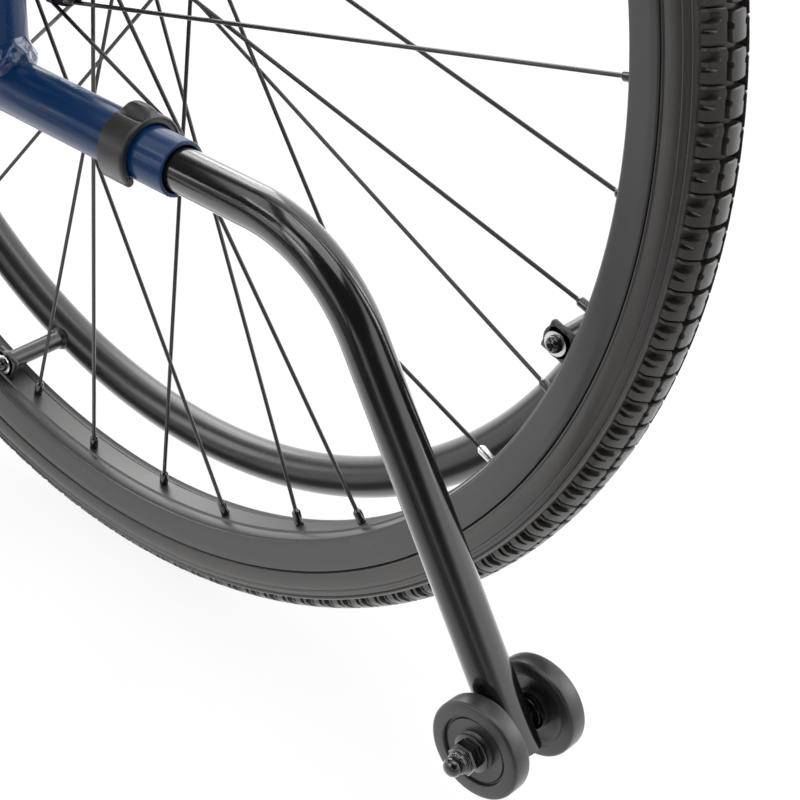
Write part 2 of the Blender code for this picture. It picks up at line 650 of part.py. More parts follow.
def hub_and_spokes():
    """Hub with two flanges and 36 spokes, each laced past three others of its own flange."""
    flange = FLANGE_SPACING / 2
    half = FLANGE_THICKNESS / 2
    end = HUB_WIDTH / 2
    side = [(HUB_BARREL_RADIUS, flange - half - 0.003), (FLANGE_RADIUS, flange - half), (FLANGE_RADIUS, flange + half),
            (HUB_END_RADIUS, flange + half), (HUB_END_RADIUS, end), (bore_of(AXLE_THICKNESS, 12) / 2, end)]
    profile = side + [(radius, -across) for radius, across in reversed(side)]
    hub = turned("hub", profile, 12, 'X', (WHEEL_X, AXLE_Y, AXLE_Z))
    pieces = []
    base = RIM_INNER_RADIUS - 0.0005
    for index in range(SPOKE_COUNT):
        side_sign = 1 if index % 2 == 0 else -1
        lean = -1 if index % 4 in (1, 2) else 1
        angle = FIRST_SPOKE + 360 * index / SPOKE_COUNT
        face = side_sign * (flange + lean * SPOKE_FACE)
        hole = wheel_point(angle + lean * SPOKE_CROSSING, FLANGE_HOLE_RADIUS, face)
        seat = wheel_point(angle, base, side_sign * NIPPLE_STAGGER)
        length = (seat - hole).length
        profile = [(0, 0), (SPOKE_THICKNESS / 2, 0), (SPOKE_THICKNESS / 2, length - NIPPLE_LENGTH),
                   (NIPPLE_THICKNESS / 2, length), (0, length)]
        spoke = turned("spoke", profile, 3, 'Z', (0, 0, 0), closed=False)
        turn = (seat - hole).to_track_quat('Z', 'X').to_matrix().to_4x4()
        pieces.append(moved(spoke, Matrix.Translation(hole) @ turn))
    return finish(join(hub, *pieces), "right_hub_and_spokes", BLACK_METAL, (WHEEL_X, AXLE_Y, AXLE_Z))


def handrim():
    """Tube ring on four standoffs, each screwed to a tab of the rim."""
    sides = 7
    radius = HANDRIM_TUBE / 2
    profile = [(HANDRIM_RADIUS + radius * cos(2 * pi * (index + 0.5) / sides),
                -HANDRIM_OFFSET + radius * sin(2 * pi * (index + 0.5) / sides)) for index in range(sides)]
    ring = turned("ring", profile, WHEEL_STEPS, 'X', (WHEEL_X, AXLE_Y, AXLE_Z), half_step=True)
    pieces = []
    for index in range(STANDOFF_COUNT):
        angle = FIRST_STANDOFF + 360 * index / STANDOFF_COUNT
        face = TAB_THICKNESS + CLEARANCE
        for name, thickness, start, end, sides in (
                ("standoff", STANDOFF_TUBE, -HANDRIM_OFFSET, -CLEARANCE, 6),
                ("shank", SCREW_SHANK, -CLEARANCE - 0.002, face + 0.001, 6),
                ("washer", WASHER, face, face + 0.001, 6),
                ("head", SCREW_HEAD, face + 0.0005, face + 0.0035, 6)):
            pieces.append(rod(name, thickness, wheel_point(angle, HANDRIM_RADIUS, start),
                              wheel_point(angle, HANDRIM_RADIUS, end), sides))
    return finish(join(ring, *pieces), "right_handrim", BLACK_METAL, (WHEEL_X, AXLE_Y, AXLE_Z))


# Anti-tip bar

def bar_direction():
    return Vector((0, cos(radians(BAR_ANGLE)), -sin(radians(BAR_ANGLE))))


def anti_tip_bar():
    tip = Vector((FRAME_X, TIP_AXLE_Y, TIP_AXLE_Z))
    start = RECEIVER_MOUTH - BAR_INSERT
    bar = tube("bar", [receiver_point(start), receiver_point(BAR_CORNER), tip + bar_direction() * BAR_END],
               BAR_TUBE, BAR_BEND, step=12)
    inside = tube("inside", [receiver_point(start - 0.01), receiver_point(BUTTON_BACK + BAR_TUBE)],
                  BAR_TUBE - 2 * BAR_WALL)
    axle_hole = rod("hole", bore_of(TIP_AXLE), tip - Vector((0.02, 0, 0)), tip + Vector((0.02, 0, 0)))
    out = button_direction()
    button_hole = rod("button_hole", bore_of(BUTTON_THICKNESS, 8), button_place() + out * BAR_TUBE / 6,
                      button_place() + out * BAR_TUBE, 8)
    return finish(cut(bar, inside, axle_hole, button_hole), "right_anti_tip_bar", BLACK_METAL, receiver_point(start))


def snap_spring():
    """Bent wire spring inside the bar that holds the snap button out."""
    out = button_direction()
    centre = button_place()
    leg = BAR_TUBE / 2 - BAR_WALL - SPRING_WIRE
    back = (receiver_point(1) - receiver_point(0)).normalized()
    wire = tube("wire", [centre - out * leg + back * 0.012, centre - out * leg - back * 0.018,
                         centre - back * 0.030, centre + out * leg * 0.9 - back * 0.018,
                         centre + out * leg * 0.9 + back * 0.005], SPRING_WIRE, 0.0, sides=8)
    button = rod("button", BUTTON_THICKNESS, centre + out * (leg - 0.001),
                 centre + out * (TUBE / 2 + BUTTON_REACH), 8)
    return finish(join(wire, button), "right_snap_spring", STEEL, centre)


def anti_tip_axle():
    tip = Vector((FRAME_X, TIP_AXLE_Y, TIP_AXLE_Z))
    shaft = TIP_AXLE / 2
    bar_side = BAR_TUBE / 2 + CLEARANCE
    inner = TIP_CASTOR_GAP / 2 - CLEARANCE
    outer = TIP_CASTOR_GAP / 2 + TIP_CASTOR_WIDTH + CLEARANCE
    side = [(shaft, bar_side), (0.008, bar_side), (0.008, inner), (shaft, inner), (shaft, outer), (0.008, outer),
            (0.008, outer + 0.0015), (0.0035, outer + 0.0015)]
    near = side + [(0.0035, CAP_NUT_END - 0.002), (0, CAP_NUT_END)]
    far = side + [(0.0035, outer + 0.0055), (0, outer + 0.0055)]
    profile = [(radius, -along) for radius, along in reversed(far)] + near
    axle = turned("axle", profile, 8, 'X', tip, closed=False)
    nuts = [rod("nut", 0.0135, tip + Vector((sign * (outer + 0.001), 0, 0)),
                tip + Vector((sign * (outer + 0.0048), 0, 0)), 6) for sign in (1, -1)]
    return finish(join(axle, *nuts), "right_anti_tip_axle", BLACK_METAL, tip)


def anti_tip_castor(name, sign):
    tip = Vector((FRAME_X + sign * (TIP_CASTOR_GAP + TIP_CASTOR_WIDTH) / 2, TIP_AXLE_Y, TIP_AXLE_Z))
    half = TIP_CASTOR_WIDTH / 2
    bore = bore_of(TIP_AXLE, 12) / 2
    face = TIP_CASTOR_RADIUS
    web = half - TIP_CASTOR_RECESS
    side = [(bore, half), (0.0085, half), (0.0095, web), (face - 0.0055, web), (face - 0.0045, half),
            (face, half - 0.001)]
    profile = side + [(radius, -across) for radius, across in reversed(side)]
    return finish(turned("castor", profile, 11, 'X', tip), name, RUBBER, tip)


# Armrest

def arm_tube():
    foot = UPPER_Z + 0.0165 + CLEARANCE
    post_y = AXLE_Y - ARM_FRONT
    arm = tube("arm", [(ARM_X, ARM_Y, ARM_Z), (ARM_X, ARM_Y, ARM_TOP_Z), (ARM_X, post_y, ARM_TOP_Z),
                       (ARM_X, post_y, foot)], ARM_TUBE, ARM_BEND, step=31)
    half = ARM_TUBE / 2 - 0.002
    boss = rod("boss", 0.022, (ARM_X - half, ARM_Y, ARM_Z), (ARM_X + half, ARM_Y, ARM_Z), 12)
    arm = join(arm, boss)
    trims = []
    for sign in (1, -1):
        trims.append(box("trim", (ARM_X + sign * (half + 0.01) - 0.01, ARM_Y - 0.013, ARM_Z - 0.013),
                         (ARM_X + sign * (half + 0.01) + 0.01, ARM_Y + 0.013, ARM_Z + 0.013)))
    hole = rod("hole", bore_of(ARM_PIN, 10), (ARM_X - 0.02, ARM_Y, ARM_Z), (ARM_X + 0.02, ARM_Y, ARM_Z), 10)
    return finish(cut(arm, hole, *trims), "right_arm_tube", BLUE, (ARM_X, ARM_Y, ARM_Z))


def arm_pad():
    """Padded rest: flat below, crowned and drawn in above."""
    inner = ARM_X + ARM_TUBE / 2 + 0.0005
    bottom = ARM_TOP_Z + ARM_TUBE / 2 + CLEARANCE
    pad = box("pad", (inner - PAD_WIDTH, AXLE_Y - PAD_FRONT, bottom), (inner, AXLE_Y - PAD_BACK, bottom + PAD_HEIGHT),
              0.009, 2)
    return finish(pad, "right_arm_pad", PLASTIC, (ARM_X, ARM_Y, ARM_Z))


def side_guard():
    gap = ARM_TUBE / 2 + CLEARANCE
    back, front = ARM_Y - gap, AXLE_Y - ARM_FRONT + gap
    low, high = UPPER_Z + 0.030, ARM_TOP_Z - gap
    pivot = ARM_Z + 0.018
    outline = [(back, high), (back, pivot), (back - 0.012, pivot - 0.024), (back - 0.012, low), (front, low),
               (front, high)]
    guard = plate("guard", [outline], ARM_X, GUARD_THICKNESS, 'YZ', bend=ARM_BEND * 0.8)
    return finish(guard, "right_side_guard", PLASTIC, (ARM_X, ARM_Y, ARM_Z))


# Wheel lock

def lock_place(spot):
    return AXLE_Y - spot[0], UPPER_Z - spot[1]


def lock_planes():
    """X of the mount's, shoe's and lever's middle planes."""
    mount = FRAME_X - 0.0155
    shoe = mount - LOCK_PLATE - 0.001
    lever = shoe - LOCK_PLATE - 0.0105
    return mount, shoe, lever


def brake_mount():
    mount, shoe, lever = lock_planes()
    middle = AXLE_Y - LOCK_AHEAD
    ring = rod("ring", 0.030, (FRAME_X, middle - 0.010, UPPER_Z), (FRAME_X, middle + 0.010, UPPER_Z), 12)
    lever_y, lever_z = lock_place(LEVER_PIVOT)
    shoe_y, shoe_z = lock_place(SHOE_PIVOT)
    outline = [(middle + 0.010, UPPER_Z + 0.006), (middle - 0.010, UPPER_Z + 0.006), (lever_y - 0.012, lever_z + 0.008),
               (lever_y - 0.012, lever_z - 0.012), (shoe_y + 0.014, shoe_z - 0.012), (shoe_y + 0.014, shoe_z + 0.012)]
    sheet = plate("sheet", [outline], mount, LOCK_PLATE, 'YZ')
    half = LOCK_PLATE / 2
    pieces = [sheet]
    for spot, plane in (((lever_y, lever_z), lever), ((shoe_y, shoe_z), shoe)):
        outside = plane - half - CLEARANCE
        pieces.append(rod("stud", 0.008, (mount, *spot), (outside - 0.001, *spot), 10))
        pieces.append(rod("head", 0.013, (outside, *spot), (outside - 0.003, *spot), 6))
        inside = plane + half + CLEARANCE
        if inside < mount - half - 0.001:
            pieces.append(rod("spacer", 0.012, (mount, *spot), (inside, *spot), 10))
    hole = rod("hole", bore_of(TUBE), (FRAME_X, middle - 0.02, UPPER_Z), (FRAME_X, middle + 0.02, UPPER_Z))
    return finish(cut(join(ring, *pieces), hole), "right_brake_mount", BLACK_METAL)


def brake_lever():
    lever = lock_planes()[2]
    spot = lock_place(LEVER_PIVOT)
    tilt = radians(15)
    along = Vector((0, -sin(tilt), cos(tilt)))
    base = Vector((lever, *spot))
    disc = rod("disc", 0.024, base - Vector((LOCK_PLATE / 2, 0, 0)), base + Vector((LOCK_PLATE / 2, 0, 0)), 12)
    arm = tube("arm", [base + along * 0.008, base + along * LEVER_LENGTH], 0.008, sides=8)
    grip = turned("lever_grip", [(0, 0), (0.007, 0), (0.0085, 0.030), (0.0075, 0.052), (0, 0.056)],
                  8, 'Z', (0, 0, 0), closed=False)
    moved(grip, Matrix.Translation(base + along * (LEVER_LENGTH - 0.045)) @ Matrix.Rotation(tilt, 4, 'X'))
    body = join(disc, arm, grip)
    hole = rod("hole", bore_of(0.008, 10), base - Vector((0.02, 0, 0)), base + Vector((0.02, 0, 0)), 10)
    room = []
    for sign in (1, -1):
        face = lever + sign * (LOCK_PLATE / 2 + 0.01)
        room.append(box("room", (face - 0.01, spot[0] - 0.011, spot[1] - 0.011),
                        (face + 0.01, spot[0] + 0.011, spot[1] + 0.011)))
    return finish(cut(body, hole, *room), "right_brake_lever", BLACK_METAL, (lever, *spot))


def brake_shoe():
    shoe = lock_planes()[1]
    spot = lock_place(SHOE_PIVOT)
    end = lock_place(SHOE_ROD_AT)
    run = Vector((0, end[0] - spot[0], end[1] - spot[1]))
    side = Vector((0, -run.z, run.y)).normalized() * 0.008
    start = Vector((shoe, *spot)) - run.normalized() * 0.004
    stop = Vector((shoe, *end)) + run.normalized() * 0.004
    outline = [(point.y, point.z) for point in (start - side, stop - side, stop + side, start + side)]
    arm = plate("arm", [outline], shoe, LOCK_PLATE, 'YZ', bend=0.006, step=45)
    far_x = WHEEL_X - TYRE_WIDTH / 2 + 0.003
    rod_piece = rod("rod", SHOE_ROD, (shoe, *end), (far_x, *end), 10)
    body = join(arm, rod_piece)
    hole = rod("hole", bore_of(0.008, 10), (shoe - 0.02, *spot), (shoe + 0.02, *spot), 10)
    return finish(cut(body, hole), "right_brake_shoe", BLACK_METAL, (shoe, *spot))


# Front castor

def castor_fork():
    middle = Vector((FRAME_X, POST_Y, 0))
    inner = CASTOR_WIDTH / 2 + 0.003
    outer = inner + FORK_BLADE
    top = CROWN_Z + CROWN_HEIGHT
    crown = box("crown", (FRAME_X - outer, POST_Y - 0.016, CROWN_Z), (FRAME_X + outer, POST_Y + 0.022, top))
    axle_y = POST_Y + CASTOR_TRAIL
    outline = [(POST_Y - 0.014, top - 0.001), (POST_Y + 0.020, top - 0.001), (axle_y + 0.012, CASTOR_Z + 0.006),
               (axle_y + 0.009, CASTOR_Z - 0.010), (axle_y - 0.008, CASTOR_Z - 0.012),
               (axle_y - 0.014, CASTOR_Z + 0.004)]
    blades = [plate("blade", [outline], FRAME_X + sign * (inner + outer) / 2, FORK_BLADE, 'YZ') for sign in (1, -1)]
    race = rod("race", 0.024, middle + Vector((0, 0, top - 0.001)), middle + Vector((0, 0, HOUSING_Z - CLEARANCE)), 10)
    stem = rod("stem", STEM_THICKNESS, middle + Vector((0, 0, top - 0.002)),
               middle + Vector((0, 0, HOUSING_Z + HOUSING_LENGTH - 0.008)))
    fork = join(crown, *blades, race, stem)
    hole = rod("hole", bore_of(TIP_AXLE, 10), (FRAME_X - 0.03, axle_y, CASTOR_Z), (FRAME_X + 0.03, axle_y, CASTOR_Z), 10)
    return finish(cut(fork, hole), "right_castor_fork", BLACK_METAL, (FRAME_X, POST_Y, HOUSING_Z))


def castor_wheel():
    half = CASTOR_WIDTH / 2
    bore = bore_of(TIP_AXLE, CASTOR_STEPS) / 2
    side = [(bore, half + 0.002), (0.014, half + 0.002), (0.017, half - 0.005), (CASTOR_RADIUS - 0.017, half - 0.004),
            (CASTOR_RADIUS - 0.012, half), (CASTOR_RADIUS, half - 0.004)]
    profile = side + [(radius, -across) for radius, across in reversed(side)]
    centre = (FRAME_X, POST_Y + CASTOR_TRAIL, CASTOR_Z)
    return finish(turned("castor", profile, CASTOR_STEPS, 'X', centre, half_step=True), "right_castor_wheel",
                  RUBBER, centre)


def castor_axle():
    centre = (FRAME_X, POST_Y + CASTOR_TRAIL, CASTOR_Z)
    face = CASTOR_WIDTH / 2 + 0.003 + FORK_BLADE + CLEARANCE
    profile = [(0, -face - 0.005), (0.0065, -face - 0.005), (0.0065, -face), (TIP_AXLE / 2, -face),
               (TIP_AXLE / 2, face), (0.0065, face), (0.0065, face + 0.006), (0, face + 0.006)]
    return finish(turned("axle", profile, 8, 'X', centre, closed=False), "right_castor_axle", STEEL, centre)


# Hanger and footrest

def slope_point(distance, x=FRAME_X):
    """A point on the hanger's lower run, a distance below its bend."""
    tilt = radians(HANGER_SLOPE)
    return Vector((x, HANGER_TUBE_Y - distance * sin(tilt), HANGER_BEND_Z - distance * cos(tilt)))


def slope_distance(height):
    return (HANGER_BEND_Z - height) / cos(radians(HANGER_SLOPE))


def hanger():
    top = UPPER_Z + 0.010
    end = slope_point(slope_distance(HANGER_END))
    arm = tube("arm", [(FRAME_X, HANGER_TUBE_Y, top), (FRAME_X, HANGER_TUBE_Y, HANGER_BEND_Z), end], TUBE, 0.050,
               step=13)
    pieces = []
    holes = []
    for height in hanger_lug_heights():
        low = height + CLEARANCE
        pieces.append(rod("knuckle", KNUCKLE, (FRAME_X, HANGER_Y, low), (FRAME_X, HANGER_Y, low + KNUCKLE_LENGTH), 10))
        pieces.append(box("web", (FRAME_X - 0.006, HANGER_TUBE_Y, low + 0.001),
                          (FRAME_X + 0.006, HANGER_Y - 0.003, low + KNUCKLE_LENGTH - 0.001)))
        holes.append(rod("hole", bore_of(PIN_THICKNESS, 8), (FRAME_X, HANGER_Y, low - 0.01),
                         (FRAME_X, HANGER_Y, low + KNUCKLE_LENGTH + 0.01), 8))
    body = join(arm, *pieces)
    inside = rod("inside", bore_of(FOOT_TUBE), slope_point(slope_distance(HANGER_END) - 0.078),
                 slope_point(slope_distance(HANGER_END) + 0.01))
    return finish(cut(body, inside, *holes), "right_hanger", BLUE, (FRAME_X, HANGER_Y, UPPER_Z))


def barrel_place():
    return slope_point(slope_distance(BARREL_HEIGHT))


def footrest_tube():
    """Stem that slides in the hanger and ends in a barrel for the footplate."""
    barrel = barrel_place()
    start = slope_point(slope_distance(HANGER_END) - 0.075)
    stem = rod("stem", FOOT_TUBE, start, barrel)
    back, front = barrel.y + 0.010, plate_front() + BARREL_LENGTH
    pin = rod("barrel", BARREL, (FRAME_X, back, barrel.z), (FRAME_X, front, barrel.z))
    head = rod("head", BARREL_HEAD, (FRAME_X, front + 0.001, barrel.z), (FRAME_X, front - 0.003, barrel.z))
    return finish(join(stem, pin, head), "right_footrest_tube", BLACK_METAL, barrel)


def plate_front():
    return barrel_place().y - PLATE_AHEAD


def footplate():
    """Flip-up plate, drawn in its raised place beside the hanger."""
    barrel = barrel_place()
    middle = FRAME_X + PLATE_DROP
    front = plate_front()
    back = front + PLATE_LENGTH
    low, high = barrel.z - 0.006, barrel.z + PLATE_WIDTH
    outline = [(front, low + 0.02), (front, high - 0.03), (front + 0.03, high), (back - 0.01, high),
               (back, high - 0.01), (back, low), (front + 0.02, low)]
    sheet = plate("sheet", [outline], middle, PLATE_THICKNESS, 'YZ')
    knuckle_front = front + BARREL_LENGTH + 0.001 + CLEARANCE
    knuckle_back = barrel.y - 0.0105
    knuckle = rod("knuckle", 0.024, (FRAME_X, knuckle_front, barrel.z), (FRAME_X, knuckle_back, barrel.z), 12)
    web = box("web", (FRAME_X + 0.006, knuckle_front, barrel.z - 0.006), (middle, knuckle_back, barrel.z + 0.006))
    hole = rod("hole", bore_of(BARREL), (FRAME_X, front, barrel.z), (FRAME_X, back + 0.02, barrel.z))
    return finish(cut(join(sheet, knuckle, web), hole), "right_footplate", PLASTIC, (FRAME_X, barrel.y, barrel.z))


# Cross brace

def brace(name, sign, ahead):
    """One arm of the cross brace with its foot sleeve and seat rail; sign is the foot's side."""
    y = AXLE_Y - ahead
    foot = Vector((sign * -FRAME_X, y, LOWER_Z))
    top = Vector((-sign * -RAIL_X, y, RAIL_Z))
    arm = tube("arm", [foot, top], TUBE)
    half = SLEEVE_LENGTH / 2
    sleeve = rod("sleeve", TUBE + 2 * CLEARANCE + 2 * SLEEVE_WALL + 0.001, foot - Vector((0, half, 0)),
                 foot + Vector((0, half, 0)), 14)
    rail = tube("rail", [(top.x, AXLE_Y - RAIL_BACK, RAIL_Z), (top.x, AXLE_Y - RAIL_FRONT, RAIL_Z)], TUBE)
    body = join(arm, sleeve, rail)
    bore = rod("bore", bore_of(TUBE), foot - Vector((0, 0.04, 0)), foot + Vector((0, 0.04, 0)))
    pin_hole = rod("pin_hole", bore_of(PIN_THICKNESS), (0, y - 0.03, PIN_Z), (0, y + 0.03, PIN_Z))
    return finish(cut(body, bore, pin_hole), name, BLUE, foot)


def centre_pin():
    face_back = AXLE_Y - BRACE_BACK + TUBE / 2 + CLEARANCE
    face_front = AXLE_Y - BRACE_BACK - BRACE_SPACING - TUBE / 2 - CLEARANCE
    middle = (face_back + face_front) / 2
    reach = face_back - middle
    profile = [(0, -reach - 0.004), (0.008, -reach - 0.004), (0.008, -reach), (PIN_THICKNESS / 2, -reach),
               (PIN_THICKNESS / 2, reach), (0.008, reach), (0.008, reach + 0.004), (0, reach + 0.004)]
    pin = turned("pin", profile, 12, 'Y', (0, middle, PIN_Z), closed=False)
    return finish(pin, "centre_pin", STEEL, (0, middle, PIN_Z))


# Slings

def sling_outline(centre_line, thickness):
    """Closed outline of a strip of even thickness along a centre line of 2D points."""
    upper, lower = [], []
    count = len(centre_line)
    for index, point in enumerate(centre_line):
        before = centre_line[max(index - 1, 0)]
        after = centre_line[min(index + 1, count - 1)]
        run = (Vector(after) - Vector(before)).normalized()
        side = Vector((-run.y, run.x)) * thickness / 2
        upper.append(tuple(Vector(point) + side))
        lower.append(tuple(Vector(point) - side))
    return upper + lower[::-1]


def seat_sling():
    """Seat cloth over the two rails, sagging between them."""
    wrap = TUBE / 2 + CLEARANCE + SLING_THICKNESS / 2
    left = [(-RAIL_X + wrap * sin(radians(turn)), RAIL_Z + wrap * cos(radians(turn))) for turn in (55, 28)]
    count = 12
    span = -RAIL_X
    middle = []
    for index in range(count + 1):
        share = 1 - 2 * index / count
        middle.append((span * share, RAIL_Z + wrap - SEAT_SAG * (1 - share * share)))
    right = [(-across, height) for across, height in reversed(left)]
    outline = sling_outline(left + middle + right, SLING_THICKNESS)
    back, front = AXLE_Y - RAIL_BACK - 0.02, AXLE_Y - RAIL_FRONT + 0.005
    cloth = plate("cloth", [outline], (back + front) / 2, back - front, 'XZ')
    return finish(cloth, "seat_sling", CLOTH, (-RAIL_X, AXLE_Y, RAIL_Z))


def back_sling():
    """Back cloth sewn into a sleeve round each cane."""
    bore = bore_of(TUBE, 14) / 2
    outer = bore + BACK_THICKNESS
    span = -FRAME_X
    half = BACK_THICKNESS / 2
    start = radians(10)
    turns = [start + (2 * pi - 2 * start) * index / 10 for index in range(11)]
    sleeve = [(span - outer * cos(turn), AXLE_Y - outer * sin(turn)) for turn in turns]
    edge = span - outer * cos(start)
    shares = [1 - 2 * index / 10 for index in range(1, 10)]
    sheet = [(edge * share, AXLE_Y + BACK_SAG * (1 - share * share)) for share in shares]
    outline = sleeve + [(across, along + half) for across, along in sheet]
    outline += [(-across, along) for across, along in reversed(sleeve)]
    outline += [(across, along - half) for across, along in reversed(sheet)]
    holes = []
    for side in (span, -span):
        holes.append([(side + bore * cos(2 * pi * index / 14), AXLE_Y + bore * sin(2 * pi * index / 14))
                      for index in range(14)])
    low, high = UPPER_Z + BACK_LOW, UPPER_Z + BACK_HIGH
    cloth = plate("cloth", [outline] + holes, (low + high) / 2, high - low, 'XY')
    return finish(cloth, "back_sling", CLOTH, (FRAME_X, AXLE_Y, low))


def build():
    right = [
        side_frame(), handgrip(), receiver_collar(), seat_guide("right_seat_guide_rear", GUIDE_BACK),
        seat_guide("right_seat_guide_front", BASE_LENGTH - GUIDE_BEHIND_POST), rear_axle(), tyre(), rim(),
        hub_and_spokes(), handrim(), anti_tip_bar(), snap_spring(), anti_tip_axle(), anti_tip_castor("right_anti_tip_castor_inner", 1),
        anti_tip_castor("right_anti_tip_castor_outer", -1), arm_tube(), arm_pad(), side_guard(), brake_mount(),
        brake_lever(), brake_shoe(), castor_fork(), castor_wheel(), castor_axle(), hanger(), footrest_tube(),
        footplate(),
    ]
    for item in right:
        mirrored(item)
    brace("brace_a", -1, BRACE_BACK)
    brace("brace_b", 1, BRACE_BACK + BRACE_SPACING)
    centre_pin()
    seat_sling()
    back_sling()


build()
for part in sorted(PARTS.objects, key=lambda item: item.name):
    print(part.name, len(part.data.polygons))
print("triangles", sum(len(part.data.polygons) for part in PARTS.objects))
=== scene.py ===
# Folding lightweight wheelchair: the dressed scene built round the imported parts.
import bpy
import bmesh
import json
from math import acos, atan2, ceil, cos, pi, radians, sin, sqrt, tan
from mathutils import Matrix, Vector


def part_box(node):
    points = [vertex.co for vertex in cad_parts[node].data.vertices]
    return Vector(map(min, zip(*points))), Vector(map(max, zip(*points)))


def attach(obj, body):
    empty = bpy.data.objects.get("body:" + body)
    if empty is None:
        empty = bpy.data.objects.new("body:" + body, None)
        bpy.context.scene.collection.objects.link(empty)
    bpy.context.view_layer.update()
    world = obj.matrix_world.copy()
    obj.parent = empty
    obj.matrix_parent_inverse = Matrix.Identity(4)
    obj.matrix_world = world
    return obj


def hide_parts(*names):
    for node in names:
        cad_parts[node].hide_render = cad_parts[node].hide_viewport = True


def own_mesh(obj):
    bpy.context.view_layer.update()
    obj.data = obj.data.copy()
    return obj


print("scene: loading the packed parts")
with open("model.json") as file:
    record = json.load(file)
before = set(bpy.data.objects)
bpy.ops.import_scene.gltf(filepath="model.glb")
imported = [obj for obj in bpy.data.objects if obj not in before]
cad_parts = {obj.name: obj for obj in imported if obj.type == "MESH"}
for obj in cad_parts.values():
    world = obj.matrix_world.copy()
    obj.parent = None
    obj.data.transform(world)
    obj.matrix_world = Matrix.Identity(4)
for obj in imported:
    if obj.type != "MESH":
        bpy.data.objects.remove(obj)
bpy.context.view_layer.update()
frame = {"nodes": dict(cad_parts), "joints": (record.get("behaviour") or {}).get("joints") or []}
jointAt = {joint["name"]: Vector(joint["pos_m"]) for joint in frame["joints"] if "pos_m" in joint}
wheelCentre = jointAt["right_wheel_spin"]
tipCentre = jointAt["right_tip_castor_inner_spin"]
armPivot = jointAt["right_arm_flip"]
castorCentre = jointAt["right_castor_spin"]
steerTop = jointAt["right_fork_swivel"]
hangerPivot = jointAt["right_hanger_swing"]
plateBarrel = jointAt["right_plate_flip"]
crossPin = jointAt["fold_brace"]
footPin = jointAt["fold"]
railPin = jointAt["fold_seat"]

layout = {"tube": 0.0228, "upperUnderRail": 0.017, "caneOverRail": 0.473}
tubeSize, tubeRadius = layout["tube"], layout["tube"] / 2
frameX, lowerZ = footPin.x, footPin.z
railX, railZ = railPin.x, railPin.z
upperZ, caneZ = railZ - layout["upperUnderRail"], railZ + layout["caneOverRail"]
axleY, postY, housingZ = wheelCentre.y, steerTop.y, steerTop.z
up, ahead = Vector((0, 0, 1)), Vector((0, -1, 0))


# Making shapes

def linked(name, data):
    item = bpy.data.objects.new(name, data)
    bpy.context.scene.collection.objects.link(item)
    return item


def smoothed(piece, angle):
    piece.data.shade_smooth()
    piece.data.set_sharp_from_angle(angle=radians(angle))
    return piece


def pieceFrom(name, form, materials, angle=38.0):
    # Without an angle the piece keeps the shading that it brings
    mesh = bpy.data.meshes.new(name)
    form.to_mesh(mesh)
    form.free()
    for material in materials:
        mesh.materials.append(material)
    piece = linked(name, mesh)
    return smoothed(piece, angle) if angle else piece


def shapeFrom(name, material, points, faces, angle=38.0):
    form = bmesh.new()
    spots = [form.verts.new(point) for point in points]
    for face in faces:
        form.faces.new([spots[index] for index in face])
    bmesh.ops.remove_doubles(form, verts=form.verts, dist=1e-6)
    bmesh.ops.recalc_face_normals(form, faces=form.faces)
    return pieceFrom(name, form, [material], angle)


def loftFaces(rows, count, wrap=False):
    # Quads between the closed sections of a loft, which may itself close on its start
    faces = []
    for row in range(rows if wrap else rows - 1):
        base, above = row * count, (row + 1) % rows * count
        for place in range(count):
            beside = (place + 1) % count
            faces.append([base + place, base + beside, above + beside, above + place])
    if not wrap:
        faces += [list(range(count)), list(range((rows - 1) * count, rows * count))]
    return faces


def lathe(name, material, profile, centre, axis="X", steps=64, closed=False, angle=38.0):
    # Profile of (radius, along) turned about an axis through centre
    turn = {"X": Matrix.Rotation(pi / 2, 3, "Y"), "Y": Matrix.Rotation(-pi / 2, 3, "X"),
            "Z": Matrix.Identity(3)}[axis]
    centre = Vector(centre)
    rings, points, faces = [], [], []
    for radius, along in profile:
        if radius < 1e-6:
            rings.append([len(points)] * steps)
            points.append(centre + turn @ Vector((0, 0, along)))
            continue
        rings.append(list(range(len(points), len(points) + steps)))
        points += [centre + turn @ Vector((radius * cos(2 * pi * step / steps),
                                           radius * sin(2 * pi * step / steps), along))
                   for step in range(steps)]
    for first, second in zip(rings, rings[1:] + rings[:1] if closed else rings[1:]):
        for step in range(steps):
            beside = (step + 1) % steps
            corners = [first[step], first[beside], second[beside], second[step]]
            kept = [corner for place, corner in enumerate(corners) if corner not in corners[:place]]
            if len(kept) > 2:
                faces.append(kept)
    return shapeFrom(name, material, points, faces, angle)


def moved(piece, matrix):
    piece.data.transform(matrix)
    return piece


def along(piece, start, toward):
    # Carry a piece made round Z at the origin to a start and a direction
    turn = Vector(toward).to_track_quat("Z", "Y").to_matrix().to_4x4()
    return moved(piece, Matrix.Translation(start) @ turn)


def spindle(name, material, profile, start, toward, steps=32, closed=False):
    return along(lathe(name, material, profile, (0, 0, 0), "Z", steps, closed), start, toward)


def bothWays(side, middle=()):
    # A profile and its mirror image about the middle plane
    return list(side) + list(middle) + [(wide, -across) for wide, across in reversed(side)]


def disc(wide, low, high, edge, core=0.0):
    # Profile of a disc or ring with chamfered outer edges
    return [(core, low), (wide - edge, low), (wide, low + edge), (wide, high - edge), (wide - edge, high),
            (core, high)]


def rod(wide, low, high):
    return [(0, low), (wide, low), (wide, high), (0, high)]


def circle(centre, radius, steps):
    return [(centre[0] + radius * cos(2 * pi * step / steps), centre[1] + radius * sin(2 * pi * step / steps))
            for step in range(steps)]


